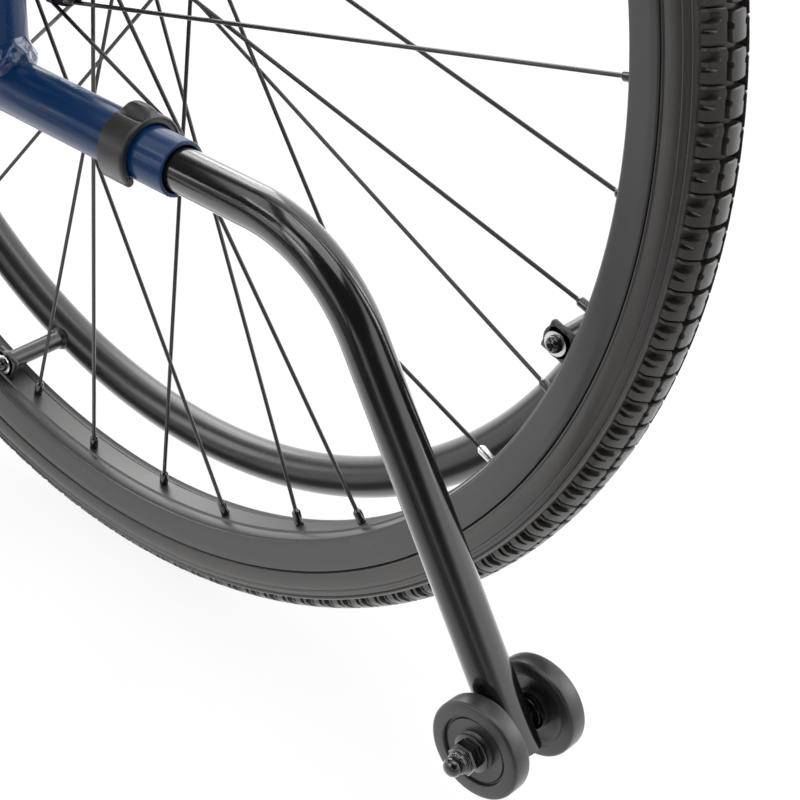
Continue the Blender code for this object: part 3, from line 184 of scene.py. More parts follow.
def roundedPath(corners, bend, closed=False, step=6.0):
    # Straight runs joined by arcs of radius bend, or of one radius for each corner
    corners = [Vector(corner) for corner in corners]
    count = len(corners)
    bends = bend if isinstance(bend, list) else [bend] * count
    path = []
    for index, corner in enumerate(corners):
        if not closed and index in (0, count - 1):
            path.append(corner)
            continue
        back = (corners[index - 1] - corner).normalized()
        onward = (corners[(index + 1) % count] - corner).normalized()
        turn = pi - back.angle(onward)
        if turn < 0.01:
            path.append(corner)
            continue
        reach = bends[index] * tan(turn / 2)
        middle = corner + (back + onward).normalized() * bends[index] / cos(turn / 2)
        first = corner + back * reach - middle
        axis = first.cross(corner + onward * reach - middle)
        pieces = max(1, ceil(turn / radians(step)))
        path += [middle + Matrix.Rotation(turn * part / pieces, 3,
                                          axis) @ first for part in range(pieces + 1)]
    return path


def flatPath(corners, bend, step=10):
    return [(spot.x, spot.y) for spot in roundedPath([(*corner, 0) for corner in corners], bend, True, step)]


def sheetPlate(name, material, outline, middle, thickness, bevel=0.0008, segments=2, holes=(), plane="YZ"):
    # A flat outline in the YZ or XZ plane, given thickness and soft edges
    curve = bpy.data.curves.new(name, "CURVE")
    curve.dimensions = "2D"
    curve.fill_mode = "BOTH"
    for loop in [outline, *holes]:
        spline = curve.splines.new("POLY")
        spline.points.add(len(loop) - 1)
        for spot, place in zip(spline.points, loop):
            spot.co = (*place, 0, 1)
        spline.use_cyclic_u = True
    carrier = linked(name, curve)
    bpy.context.view_layer.update()
    flat = bpy.data.meshes.new_from_object(carrier.evaluated_get(bpy.context.evaluated_depsgraph_get()))
    bpy.data.objects.remove(carrier)
    form = bmesh.new()
    form.from_mesh(flat)
    bpy.data.meshes.remove(flat)
    bmesh.ops.remove_doubles(form, verts=form.verts, dist=1e-6)
    bmesh.ops.dissolve_limit(form, angle_limit=0.01, verts=form.verts, edges=form.edges)
    grown = bmesh.ops.extrude_face_region(form, geom=form.faces[:])
    top = [item for item in grown["geom"] if isinstance(item, bmesh.types.BMVert)]
    bmesh.ops.translate(form, verts=top, vec=(0, 0, thickness))
    bmesh.ops.recalc_face_normals(form, faces=form.faces)
    rim = []
    for edge in form.edges:
        slopes = [abs(face.normal.z) for face in edge.link_faces]
        if len(slopes) == 2 and sum(slopes) > 0.9 and abs(slopes[0] - slopes[1]) > 0.5:
            rim.append(edge)
    bmesh.ops.bevel(form, geom=rim, offset=bevel, segments=segments, profile=0.5, affect="EDGES",
                    clamp_overlap=True)
    for vert in form.verts:
        across, height, deep = vert.co.x, vert.co.y, vert.co.z - thickness / 2 + middle
        vert.co = (deep, across, height) if plane == "YZ" else (across, deep, height)
    bmesh.ops.recalc_face_normals(form, faces=form.faces)
    return pieceFrom(name, form, [material])


def block(name, material, low, high, bevel=0.001, segments=3):
    low, high = Vector(low), Vector(high)
    form = bmesh.new()
    bmesh.ops.create_cube(form, size=1.0)
    bmesh.ops.scale(form, vec=high - low, verts=form.verts)
    bmesh.ops.translate(form, vec=(low + high) / 2, verts=form.verts)
    bmesh.ops.bevel(form, geom=form.edges[:], offset=bevel, segments=segments, profile=0.5, affect="EDGES",
                    clamp_overlap=True)
    return pieceFrom(name, form, [material])


def gather(name, pieces):
    # One piece from several, each keeping its own material
    form = bmesh.new()
    materials = []
    for piece in pieces:
        before = len(form.faces)
        form.from_mesh(piece.data)
        form.faces.ensure_lookup_table()
        own = list(piece.data.materials)
        materials += [material for material in own if material not in materials]
        for face in form.faces[before:]:
            face.material_index = materials.index(own[min(face.material_index, len(own) - 1)])
    for piece in pieces:
        bpy.data.objects.remove(piece)
    return pieceFrom(name, form, materials, None)


def mirrorOf(piece, name):
    form = bmesh.new()
    form.from_mesh(piece.data)
    bmesh.ops.scale(form, vec=(-1, 1, 1), verts=form.verts)
    bmesh.ops.reverse_faces(form, faces=form.faces)
    return pieceFrom(name, form, piece.data.materials, None)


def fitTo(piece, body, slot, *nodes):
    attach(piece, body)
    if nodes:
        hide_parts(*nodes)


def fitBoth(piece, body, slot, node):
    # The right side's piece and its mirror image on the left
    other = mirrorOf(piece, piece.name.replace("right", "left"))
    fitTo(piece, "right_" + body, slot, "right_" + node)
    fitTo(other, "left_" + body, slot, "left_" + node)


# Node trees

def plugIn(tree, node, values):
    for key, value in values.items():
        if isinstance(value, bpy.types.NodeSocket):
            tree.links.new(value, node.inputs[key])
        else:
            node.inputs[key].default_value = value


def addNode(tree, kind, values=None, **settings):
    node = tree.nodes.new(kind)
    for key, value in settings.items():
        setattr(node, key, value)
    plugIn(tree, node, values or {})
    return node.outputs


def addMath(tree, operation, first, second=None):
    values = {0: first} if second is None else {0: first, 1: second}
    return addNode(tree, "ShaderNodeMath", values, operation=operation)[0]


def newGroup(name, kind, inputs, outputs):
    tree = bpy.data.node_groups.new(name, kind)
    for label, form, value in inputs:
        socket = tree.interface.new_socket(label, in_out="INPUT", socket_type="NodeSocket" + form)
        if value is not None:
            socket.default_value = value
    for label, form in outputs:
        tree.interface.new_socket(label, in_out="OUTPUT", socket_type="NodeSocket" + form)
    return tree, tree.nodes.new("NodeGroupInput").outputs, tree.nodes.new("NodeGroupOutput")


def newTree(name, inputs):
    whole = [("Geometry", "Geometry", None), *inputs, ("Material", "Material", None)]
    return newGroup(name, "GeometryNodeTree", whole, [("Geometry", "Geometry")])


def endTree(tree, geometry, entry, output):
    whole = addNode(tree, "GeometryNodeRealizeInstances", {"Geometry": geometry})
    finish = addNode(tree, "GeometryNodeSetMaterial", {"Geometry": whole[0], "Material": entry["Material"]})
    plugIn(tree, output, {"Geometry": finish[0]})
    return tree


def grow(name, material, source, tree, values, angle=38.0):
    # Run a tree on a source object and keep the result as a plain mesh
    modifier = source.modifiers.new("grow", "NODES")
    modifier.node_group = tree
    values = {**values, "Material": material}
    for item in tree.interface.items_tree:
        if item.item_type == "SOCKET" and item.in_out == "INPUT" and item.name in values:
            modifier[item.identifier] = values[item.name]
    bpy.context.view_layer.update()
    graph = bpy.context.evaluated_depsgraph_get()
    mesh = bpy.data.meshes.new_from_object(source.evaluated_get(graph), depsgraph=graph)
    source.modifiers.remove(modifier)
    bpy.data.objects.remove(source)
    mesh.name = name
    return smoothed(linked(name, mesh), angle)


def lineObject(name, path, closed=False):
    mesh = bpy.data.meshes.new(name)
    links = [(index, index + 1) for index in range(len(path) - 1)]
    if closed:
        links.append((len(path) - 1, 0))
    mesh.from_pydata([tuple(point) for point in path], links, [])
    return linked(name, mesh)


def makeTubeTree():
    # A round tube along the edges of a path, with flat ends
    tree, entry, output = newTree("tubeAlongPath", [("Radius", "Float", 0.011), ("Sides", "Int", 48)])
    line = addNode(tree, "GeometryNodeMeshToCurve", {"Mesh": entry["Geometry"]})
    ring = addNode(tree, "GeometryNodeCurvePrimitiveCircle",
                   {"Resolution": entry["Sides"], "Radius": entry["Radius"]})
    skin = addNode(tree, "GeometryNodeCurveToMesh", {"Curve": line[0], "Profile Curve": ring[0],
                                                     "Fill Caps": True})
    return endTree(tree, skin[0], entry, output)


def makeBeadTree():
    # Ripples of weld metal laid one over the next along a path
    tree, entry, output = newTree("weldRipples", [("Spacing", "Float", 0.0017), ("Radius", "Float", 0.0022),
                                                  ("Unevenness", "Float", 0.35), ("Seed", "Int", 3)])
    line = addNode(tree, "GeometryNodeMeshToCurve", {"Mesh": entry["Geometry"]})
    spots = addNode(tree, "GeometryNodeCurveToPoints", {"Curve": line[0], "Length": entry["Spacing"]},
                    mode="LENGTH")
    drop = addNode(tree, "GeometryNodeMeshIcoSphere", {"Radius": entry["Radius"], "Subdivisions": 2})
    least = addMath(tree, "SUBTRACT", 1.0, entry["Unevenness"])
    # Sockets 2 and 3 are the least and the greatest of a plain number, and 1 is its value
    size = addNode(tree, "FunctionNodeRandomValue", {2: least, 3: 1.0, "Seed": entry["Seed"]},
                   data_type="FLOAT")
    laid = addNode(tree, "GeometryNodeInstanceOnPoints", {"Points": spots["Points"], "Instance": drop["Mesh"],
                                                          "Scale": size[1]})
    return endTree(tree, laid[0], entry, output)


def makeRingTree():
    # Copies of one shape spaced evenly round the wheel's axle
    tree, entry, output = newTree("roundTheAxle", [("Count", "Int", 36), ("Shape", "Object", None),
                                                   ("Centre", "Vector", None)])
    spots = addNode(tree, "GeometryNodePoints", {"Count": entry["Count"], "Position": entry["Centre"]})
    share = addMath(tree, "DIVIDE", addNode(tree, "GeometryNodeInputIndex")[0], entry["Count"])
    spin = addNode(tree, "ShaderNodeCombineXYZ", {"X": addMath(tree, "MULTIPLY", share, -2 * pi)})
    shape = addNode(tree, "GeometryNodeObjectInfo", {"Object": entry["Shape"]})
    laid = addNode(tree, "GeometryNodeInstanceOnPoints", {"Points": spots[0], "Instance": shape["Geometry"],
                                                          "Rotation": spin[0]})
    return endTree(tree, laid[0], entry, output)


tubeTree = makeTubeTree()
beadTree = makeBeadTree()
ringTree = makeRingTree()


def tube(name, material, path, thickness, sides=48, closed=False):
    return grow(name, material, lineObject(name, path, closed), tubeTree,
                {"Radius": thickness / 2, "Sides": sides})


def weldBead(path, radius, seed):
    return grow("weld", bluePaint, lineObject("weld", path, True), beadTree,
                {"Radius": radius, "Spacing": 0.0017, "Seed": seed}, 60)


def roundAxle(name, material, shape, count, centre):
    # Copies of a shape made for the wheel's rearmost place with the axle at the origin
    carrier = linked(name, bpy.data.meshes.new(name))
    piece = grow(name, material, carrier, ringTree, {"Count": count, "Shape": shape, "Centre": tuple(centre)})
    bpy.data.objects.remove(shape)
    return piece


# Finishes

def addGroup(name, inputs, outputs):
    return newGroup(name, "ShaderNodeTree", [("Vector", "Vector", None), *inputs],
                    [(label, "Float") for label in outputs])


def makeGrainGroup():
    # Fine unevenness of a surface: height, roughness change and slow shading
    tree, entry, output = addGroup("surfaceGrain", [("Scale", "Float", 900.0), ("Roughness", "Float", 0.4),
                                                    ("Spread", "Float", 0.1), ("Patch", "Float", 12.0)],
                                   ["Height", "Roughness", "Shade"])
    fine = addNode(tree, "ShaderNodeTexNoise", {"Vector": entry["Vector"], "Scale": entry["Scale"],
                                                "Detail": 3.0,
                                                "Roughness": 0.6})
    slow = addNode(tree, "ShaderNodeTexNoise", {"Vector": entry["Vector"], "Scale": entry["Patch"],
                                                "Detail": 4.0})
    spread = addMath(tree, "MULTIPLY", addMath(tree, "SUBTRACT", slow[0], 0.5), entry["Spread"])
    rough = addMath(tree, "ADD", spread, entry["Roughness"])
    plugIn(tree, output, {"Height": fine[0], "Roughness": rough, "Shade": slow[0]})
    return tree


def makeWearGroup():
    # Sparse hairline scuffs and dust specks, as a mask
    tree, entry, output = addGroup("scuffsAndDust", [("Scale", "Float", 60.0), ("Amount", "Float", 0.3)],
                                   ["Mask"])
    long = addNode(tree, "ShaderNodeMapping", {"Vector": entry["Vector"], "Scale": (1.0, 0.15, 1.0),
                                               "Rotation": (0.4, 0.2, 0.7)})
    streak = addNode(tree, "ShaderNodeTexNoise", {"Vector": long[0], "Scale": entry["Scale"], "Detail": 6.0,
                                                  "Roughness": 0.7})
    speck = addNode(tree, "ShaderNodeTexNoise", {"Vector": entry["Vector"], "Scale": 700.0, "Detail": 2.0})
    mask = addNode(tree, "ShaderNodeMapRange", {"Value": addMath(tree, "MULTIPLY", streak[0], speck[0]),
                                                "From Min": 0.33, "From Max": 0.48,
                                                "To Max": entry["Amount"]})
    plugIn(tree, output, {"Mask": mask[0]})
    return tree


def makeWeaveGroup():
    # Plain woven cloth: over and under threads on a flat UV map
    tree, entry, output = addGroup("wovenThreads", [("Threads", "Float", 900.0)], ["Height", "Shade"])
    split = addNode(tree, "ShaderNodeSeparateXYZ", {"Vector": entry["Vector"]})
    waves = [addMath(tree, "SINE", addMath(tree, "MULTIPLY", split[axis], entry["Threads"]))
             for axis in ("X", "Y")]
    height = addNode(tree, "ShaderNodeMapRange", {"Value": addMath(tree, "MULTIPLY", *waves),
                                                  "From Min": -1.0})
    uneven = addNode(tree, "ShaderNodeTexNoise", {"Vector": entry["Vector"], "Scale": 40.0, "Detail": 5.0})
    plugIn(tree, output, {"Height": height[0], "Shade": addMath(tree, "MULTIPLY", height[0], uneven[0])})
    return tree


grainGroup = makeGrainGroup()
wearGroup = makeWearGroup()
weaveGroup = makeWeaveGroup()


def colour(value):
    return (*value, 1) if isinstance(value, tuple) else (value, value, value, 1)


def blend(tree, factor, first, second):
    # Sockets 6 and 7 of a mix are its colours, and 2 is the result
    return addNode(tree, "ShaderNodeMix", {"Factor": factor, 6: first, 7: second}, data_type="RGBA")[2]


def finishOf(name, dark, light, rough, grain, bump, **looks):
    # A surface finish between two tones, with grain, wear and the looks named
    material = bpy.data.materials.new(name)
    material.use_nodes = True
    tree = material.node_tree
    where = addNode(tree, "ShaderNodeTexCoord")
    spot = where["UV"] if "weave" in looks else where["Object"]
    fine = addNode(tree, "ShaderNodeGroup", {"Vector": spot, "Scale": grain, "Roughness": rough,
                                             "Spread": looks.get("spread", 0.12), "Patch": 14.0},
                                             node_tree=grainGroup)
    wear = addNode(tree, "ShaderNodeGroup", {"Vector": spot, "Scale": 60.0, "Amount": looks.get("wear", 0.0)},
                   node_tree=wearGroup)
    tone = blend(tree, fine["Shade"], colour(dark), colour(light))
    tone = blend(tree, wear["Mask"], tone, colour(looks.get("dust", (0.25, 0.24, 0.22))))
    height = fine["Height"]
    if "weave" in looks:
        cloth = addNode(tree, "ShaderNodeGroup", {"Vector": spot, "Threads": looks["weave"]},
                        node_tree=weaveGroup)
        height = cloth["Height"]
        tone = blend(tree, cloth["Shade"], tone, colour(looks["thread"]))
    normal = addNode(tree, "ShaderNodeBump", {"Height": height, "Strength": bump,
                                              "Distance": looks.get("depth", 0.0002)})
    plugIn(tree, tree.nodes["Principled BSDF"], {
        "Base Color": tone, "Roughness": fine["Roughness"], "Normal": normal[0],
        "Metallic": looks.get("metal", 0.0),
        "Coat Weight": looks.get("coat", 0.0), "Coat Roughness": looks.get("coatRough", 0.08),
        "Sheen Weight": looks.get("sheen", 0.0), "Specular IOR Level": looks.get("shine", 0.5)})
    return material


print("scene: mixing finishes")
bluePaint = finishOf("bluePaint", (0.0006, 0.022, 0.085), (0.0012, 0.030, 0.110), 0.30, 1400.0, 0.06,
                     coat=0.24,
                     coatRough=0.16, shine=0.22, wear=0.10, dust=(0.20, 0.28, 0.42))
weldPaint = finishOf("weldPaint", (0.0010, 0.024, 0.090), (0.0020, 0.034, 0.120), 0.22, 900.0, 0.06,
                     coat=0.60,
                     coatRough=0.10, wear=0.10, dust=(0.20, 0.28, 0.42))
glossBlack = finishOf("glossBlack", 0.0035, 0.006, 0.16, 700.0, 0.03, spread=0.05, coat=0.35, coatRough=0.10,
                      wear=0.05)
satinBlack = finishOf("satinBlack", 0.008, 0.013, 0.34, 1200.0, 0.08, wear=0.06)
rimSatin = finishOf("rimSatin", (0.040, 0.039, 0.038), (0.052, 0.050, 0.049), 0.36, 2200.0, 0.06, metal=0.45,
                    wear=0.05)
handrimSatin = finishOf("handrimSatin", 0.030, (0.040, 0.040, 0.039), 0.28, 1800.0, 0.05, metal=0.45,
                        wear=0.06)
spokeBlack = finishOf("spokeBlack", (0.022, 0.021, 0.020), (0.034, 0.032, 0.030), 0.34, 900.0, 0.04,
                      metal=0.5)
brightSteel = finishOf("brightSteel", 0.50, (0.62, 0.62, 0.63), 0.24, 1500.0, 0.06, metal=1.0, wear=0.10,
                       dust=(0.30, 0.29, 0.28))
tyreRubber = finishOf("tyreRubber", (0.016, 0.014, 0.013), (0.027, 0.024, 0.021), 0.38, 1600.0, 0.22,
                      wear=0.10,
                      dust=(0.12, 0.11, 0.10))
castorRubber = finishOf("castorRubber", (0.011, 0.010, 0.010), (0.018, 0.017, 0.016), 0.38, 1700.0, 0.18,
                        wear=0.08,
                        dust=0.11)
gripRubber = finishOf("gripRubber", 0.012, 0.018, 0.62, 1500.0, 0.25, wear=0.05)
grainedPlastic = finishOf("grainedPlastic", (0.010, 0.010, 0.009), (0.017, 0.017, 0.015), 0.34, 2600.0, 0.30,
                          wear=0.08)
padVinyl = finishOf("padVinyl", 0.013, 0.019, 0.48, 1100.0, 0.55, depth=0.0004, wear=0.04)
nylonCloth = finishOf("nylonCloth", (0.012, 0.012, 0.014), (0.020, 0.020, 0.022), 0.78, 500.0, 0.8,
                      depth=0.0003,
                      sheen=0.25, weave=3600.0, thread=(0.040, 0.040, 0.044))
threadGrey = finishOf("threadGrey", (0.030, 0.030, 0.032), (0.050, 0.050, 0.052), 0.7, 3000.0, 0.3)
# Painted shade: a near-black colour standing for the shadow down in a screw's cross recess
slotBlack = finishOf("slotBlack", 0.001, 0.002, 0.9, 500.0, 0.1)


# Rear wheel

# The photographed tyre and rim stand a little outboard of the hub's middle
rimMiddle = wheelCentre + Vector((-0.0015, 0, 0))


def wheelPoint(angle, radius, across=0.0):
    # Degrees below the rearmost place, radius, distance inboard of the wheel's middle
    turn = radians(angle)
    return Vector((wheelCentre.x + across, axleY + radius * cos(turn), wheelCentre.z - radius * sin(turn)))


tyreSizes = {
    "steps": 240,
    "blockPitches": 150,
    "blockDepth": 0.0036,
    # millimetres: outer radius, half width of the tread, lean and rounding of a block's sides
    "reach": 305, "treadHalf": 11.5, "flare": 0.25, "chamfer": 0.22,
    # (across, radius) of the casing from the rim to the tread
    "casing": [(0.0111, 0.2810), (0.0121, 0.2831), (0.0129, 0.2835), (0.0134, 0.2838), (0.0136, 0.2842),
               (0.0134, 0.2846), (0.0132, 0.2848), (0.0135, 0.2858), (0.0138, 0.2875), (0.01395, 0.2895),
               (0.0138, 0.2912), (0.0135, 0.2918), (0.0139, 0.2922), (0.0140, 0.2926), (0.0138, 0.2930),
               (0.0133, 0.2934), (0.0131, 0.2944), (0.0127, 0.2950), (0.0132, 0.2954), (0.0133, 0.2959),
               (0.0130, 0.2963), (0.0122, 0.2968), (0.0113, 0.2970), (0.0095, 0.2976), (0.0075, 0.2992),
               (0.0050, 0.3006), (0.0025, 0.3012), (0.0, 0.3014)],
    "crown": [(0.0, 0.3050), (0.002, 0.3048), (0.0035, 0.3043), (0.0055, 0.3040), (0.0065, 0.3036),
              (0.0075, 0.3030), (0.0085, 0.3022), (0.0095, 0.3014), (0.0105, 0.3004), (0.0115, 0.2990)],
    # (along, inner edge, groove edge) of a shoulder block, in millimetres
    "shoulder": [(0.3, 10.9, 6.2), (0.8, 11.4, 6.0), (1.3, 11.2, 6.0), (1.5, 8.6, 5.8), (2.2, 7.8, 5.6),
                 (3.9, 7.6, 5.6), (4.7, 8.4, 5.8), (5.1, 11.0, 6.0), (6.5, 11.2, 6.0), (6.7, 9.6, 6.0),
                 (7.3, 8.9, 6.0), (8.1, 9.3, 6.0), (8.5, 11.2, 6.0), (12.0, 11.4, 6.0), (12.35, 10.9, 6.4)],
    # (along, half width) of a middle block, in millimetres
    "middle": [(0.8, 2.8), (1.3, 3.8), (4.2, 4.1), (5.0, 3.2), (6.2, 3.2), (7.0, 4.1), (10.8, 3.8),
               (11.3, 2.8)],
    # millimetres from the rearmost place up to the first slit, and on to the far and middle blocks
    "lead": 5.6, "farShift": 6.2, "middleShift": 1.5,
}


def crownRadius(across):
    crown = tyreSizes["crown"]
    across = abs(across)
    for (lowAcross, lowRadius), (highAcross, highRadius) in zip(crown, crown[1:]):
        if across <= highAcross:
            share = (across - lowAcross) / (highAcross - lowAcross)
            return lowRadius + share * (highRadius - lowRadius)
    return crown[-1][1]


def treadBlock(stations, drop=0.0):
    # A rubber block lofted round the tread; a station is (along, one edge, other edge) in millimetres
    sizes = tyreSizes
    low, chamfer, flare = sizes["blockDepth"] + 0.0006, sizes["chamfer"], sizes["flare"]
    points = []
    for index, (along, near, far) in enumerate(stations):
        ends = 0.0005 if index in (0, len(stations) - 1) else 0.0
        top = [near - chamfer] + [near + (far - near) * share for share in (0.25, 0.5,
                                                                            0.75)] + [far + chamfer]
        section = [(near + flare, low), (near, 0.0005), *[(across, 0.0) for across in top], (far, 0.0005),
                   (far - flare, low)]
        turn = (along - sizes["lead"]) / sizes["reach"]
        for across, sunk in section:
            held = min(max(across, -sizes["treadHalf"]), sizes["treadHalf"]) / 1000
            radius = crownRadius(held) - sunk - drop - (ends if sunk < 0.001 else 0)
            points.append(Vector((across / 1000, radius * cos(turn), -radius * sin(turn))))
    return points, loftFaces(len(stations), 9)


def treadPitch():
    # One pitch of the tread: a notched shoulder block on each side and small blocks between two grooves
    sizes = tyreSizes
    shoulder = sizes["shoulder"]
    far = [(along + sizes["farShift"], -groove, -inner) for along, inner, groove in shoulder]
    middle = [(along + sizes["middleShift"], half, -half) for along, half in sizes["middle"]]
    points, faces = [], []
    for stations, drop in ((shoulder, 0.0), (far, 0.0), (middle, 0.0001)):
        blockPoints, blockFaces = treadBlock(stations, drop)
        faces += [[len(points) + index for index in face] for face in blockFaces]
        points += blockPoints
    return shapeFrom("treadPitch", tyreRubber, points, faces, 30)


def buildTyre():
    sizes = tyreSizes
    *side, crown = [(radius, across) for across, radius in sizes["casing"]]
    casing = lathe("casing", tyreRubber, bothWays(side, [crown]), rimMiddle, steps=sizes["steps"],
                   closed=True, angle=24)
    tread = roundAxle("tread", tyreRubber, treadPitch(), sizes["blockPitches"], rimMiddle)
    return gather("rightTyre", [casing, tread])


handrimSizes = {"radius": 0.2608, "tube": 0.019, "offset": 0.0412, "standoffs": 4, "first": 20.0,
                "standoff": 0.009,
                "screw": 0.0070, "washer": 0.0100, "tabHalf": 0.0068, "tabThickness": 0.0030}
rimSizes = {
    "steps": 256,
    # (across, radius) from the inner middle to the sidewall and back under the tyre
    "section": [(0.0048, 0.26735), (0.0052, 0.26800), (0.0055, 0.26830), (0.0059, 0.26830), (0.0062, 0.26800),
                (0.0068, 0.26805), (0.0100, 0.26865), (0.0104, 0.26885), (0.0107, 0.26950), (0.0111, 0.26955),
                (0.0114, 0.26980), (0.0116, 0.27030), (0.0120, 0.2725), (0.0132, 0.2785), (0.0134, 0.2800),
                (0.01345, 0.2822), (0.0131, 0.28285), (0.0126, 0.28300), (0.0119, 0.28280), (0.0113, 0.2800),
                (0.0105, 0.2765)],
}


def standoffAngles():
    return [handrimSizes["first"] + 360 / handrimSizes["standoffs"] * index
            for index in range(handrimSizes["standoffs"])]


def buildRim():
    side = [(radius, across) for across, radius in rimSizes["section"]]
    pieces = [lathe("ring", rimSatin, bothWays(side), rimMiddle, steps=rimSizes["steps"], closed=True,
                    angle=22)]
    radius, half, thick = handrimSizes["radius"], handrimSizes["tabHalf"], handrimSizes["tabThickness"]
    for angle in standoffAngles():
        turn = Matrix.Translation(wheelCentre) @ Matrix.Rotation(-radians(angle), 4, "X")
        tab = block("tab", satinBlack, (0, radius - 0.0062, -half), (thick, 0.2680, half), 0.0012)
        nose = lathe("nose", satinBlack, [(0, 0.0001), (half - 0.0003, 0.0001), (half, 0.0004),
                                          (half, thick - 0.0004),
                                          (half - 0.0004, thick), (0, thick)], (0, radius, 0), steps=28)
        pieces += [moved(tab, turn), moved(nose, turn)]
    return gather("rightRim", pieces)


def crossScrew(thickness, height, material, start, toward):
    # Domed head with a cross recess, drawn as a near-black cross of painted shade standing through the dome
    radius = thickness / 2
    profile = [(0, 0.78), (0.16, 0.80), (0.5, 1.0), (0.8, 0.78), (0.97, 0.4), (1.0, 0.0), (0, 0.0)]
    pieces = [lathe("screw", material, [(radius * wide, height * rise) for wide, rise in profile], (0, 0, 0),
                    "Z", 24)]
    for turn in (0, pi / 2):
        # Each bar of the cross is painted shade, near black, where the recess would lie in shadow
        bar = block("slot", slotBlack, (-radius * 0.55, -radius * 0.10, height * 0.80),
                    (radius * 0.55, radius * 0.10, height * 1.02), 0.0001, 1)
        pieces.append(moved(bar, Matrix.Rotation(turn, 4, "Z")))
    return along(gather("screw", pieces), start, toward)


def buildHandrim():
    sizes = handrimSizes
    radius, offset, post = sizes["radius"], sizes["offset"], sizes["standoff"] / 2
    pieces = [lathe("ring", handrimSatin, circle((radius, -offset), sizes["tube"] / 2, 40), wheelCentre,
                    steps=220,
                    closed=True)]
    for angle in standoffAngles():
        inner, outer = wheelPoint(angle, radius, -0.0002), wheelPoint(angle, radius, -offset)
        length = (inner - outer).length
        face = wheelPoint(angle, radius, sizes["tabThickness"] + 0.0003)
        pieces += [
            spindle("post", handrimSatin, [(0, 0), (post, 0), (post, length - 0.0006),
                                           (post - 0.0005, length), (0, length)],
                    outer, (1, 0, 0)),
            spindle("bead", satinBlack, [(post, 0.0082), (post + 0.0016, 0.0090), (post + 0.0010, 0.0104),
                                         (post, 0.0112)],
                    outer, (1, 0, 0)),
            spindle("washer", brightSteel, [(0.0024, 0), (sizes["washer"] / 2, 0),
                                            (sizes["washer"] / 2, 0.0009),
                                            (0.0024, 0.0009)], face, (1, 0, 0), closed=True),
            crossScrew(sizes["screw"], 0.0026, glossBlack, face + Vector((0.0010, 0, 0)), (1, 0, 0))]
    return gather("rightHandrim", pieces)


spokeSizes = {"count": 36, "first": -4.4, "wire": 0.0018, "nipple": 0.0040, "nippleLength": 0.0068,
              "crossing": 80.0,
              "rimRadius": 0.2668, "stagger": 0.00165, "flange": 0.0287, "holeRadius": 0.0215, "face": 0.0019,
              "elbow": 0.0042, "brightOne": 4}


def buildSpokes():
    sizes = spokeSizes
    radius, end = sizes["nipple"] / 2, sizes["nippleLength"]
    pieces = []
    for index in range(sizes["count"]):
        side = 1 if index % 2 == 0 else -1
        lean = -1 if index % 4 in (1, 2) else 1
        angle = sizes["first"] + 360 / sizes["count"] * index
        hole = wheelPoint(angle + lean * sizes["crossing"], sizes["holeRadius"],
                          side * (sizes["flange"] + lean * sizes["face"]))
        seat = wheelPoint(angle, sizes["rimRadius"], side * sizes["stagger"]) + rimMiddle - wheelCentre
        run = (seat - hole).normalized()
        elbow = hole + Vector((-side * lean * sizes["elbow"], 0, 0))
        path = roundedPath([elbow, hole, seat - run * 0.004], 0.0018, step=25)
        shine = brightSteel if index == sizes["brightOne"] else glossBlack
        pieces += [
            tube("spoke", spokeBlack, path, sizes["wire"], 8),
            spindle("knob", spokeBlack, [(0, 0), (0.0019, 0), (0.0021, 0.0006), (0.0017, 0.0012),
                                         (0, 0.0012)],
                    elbow, (-side * lean, 0, 0), 10),
            spindle("nipple", shine, [(0, 0), (radius, 0), (radius, end - 0.0015),
                                      (radius * 0.92, end - 0.0011),
                                      (radius * 0.60, end - 0.0005), (radius * 0.50, end), (0, end)], seat,
                                      -run, 12)]
    return gather("rightSpokes", pieces + [buildHub()])


hubSizes = {"thickness": 0.0030, "radius": 0.024, "barrel": 0.0135, "end": 0.0100, "width": 0.066}


def buildHub():
    sizes = hubSizes
    inner = spokeSizes["flange"] - sizes["thickness"] / 2
    outer = inner + sizes["thickness"]
    barrel, radius, end, face = sizes["barrel"], sizes["radius"], sizes["end"], sizes["width"] / 2
    side = [(barrel, inner - 0.0075), (barrel + 0.0012, inner - 0.0045), (0.0185, inner - 0.0010),
            (0.0195, inner),
            (radius - 0.0005, inner), (radius, inner + 0.0006), (radius, outer - 0.0006),
            (radius - 0.0005, outer),
            (0.0165, outer), (0.0155, outer + 0.0009), (0.0112, outer + 0.0012), (end, outer + 0.0016),
            (end, face - 0.0004), (end - 0.0004, face), (0.0064, face)]
    return lathe("hub", glossBlack, bothWays(side), wheelCentre, closed=True)


def hexNut(across, height, material, start, toward):
    # Chamfered hexagon nut
    corner = across / sqrt(3)
    points = []
    for level, share in ((0.0, 0.93), (height * 0.16, 1.0), (height * 0.84, 1.0), (height, 0.93)):
        points += [(x, y, level) for x, y in circle((0, 0), corner * share, 6)]
    return along(shapeFrom("nut", material, points, loftFaces(4, 6), 20), start, toward)


axleSizes = {"shaft": 0.0119, "hubEnd": 0.0334, "frameOut": frameX - wheelCentre.x - tubeRadius - 0.0003,
             "frameIn": frameX - wheelCentre.x + tubeRadius + 0.0003}


def buildAxle():
    sizes = axleSizes
    end, shaft, out, inn = sizes["hubEnd"], sizes["shaft"] / 2, sizes["frameOut"], sizes["frameIn"]
    profile = [(0, -end - 0.0064), (0.0048, -end - 0.0062), (0.0074, -end - 0.0054), (0.0088, -end - 0.0036),
               (0.0092, -end - 0.0012), (0.0092, -end), (shaft, -end), (shaft, end), (0.0088, end),
               (0.0090, end + 0.0003), (0.0090, out - 0.0003), (0.0088, out), (shaft, out), (shaft, inn),
               (0.0093, inn), (0.0095, inn + 0.0003), (0.0095, inn + 0.0012), (0.0092, inn + 0.0015),
               (0.0045, inn + 0.0015), (0.0045, inn + 0.0092), (0.0040, inn + 0.0097), (0, inn + 0.0097)]
    bolt = lathe("bolt", brightSteel, profile, wheelCentre, steps=48)
    nut = hexNut(0.0158, 0.0068, brightSteel, wheelCentre + Vector((inn + 0.0016, 0, 0)), (1, 0, 0))
    return gather("rightAxle", [bolt, nut])


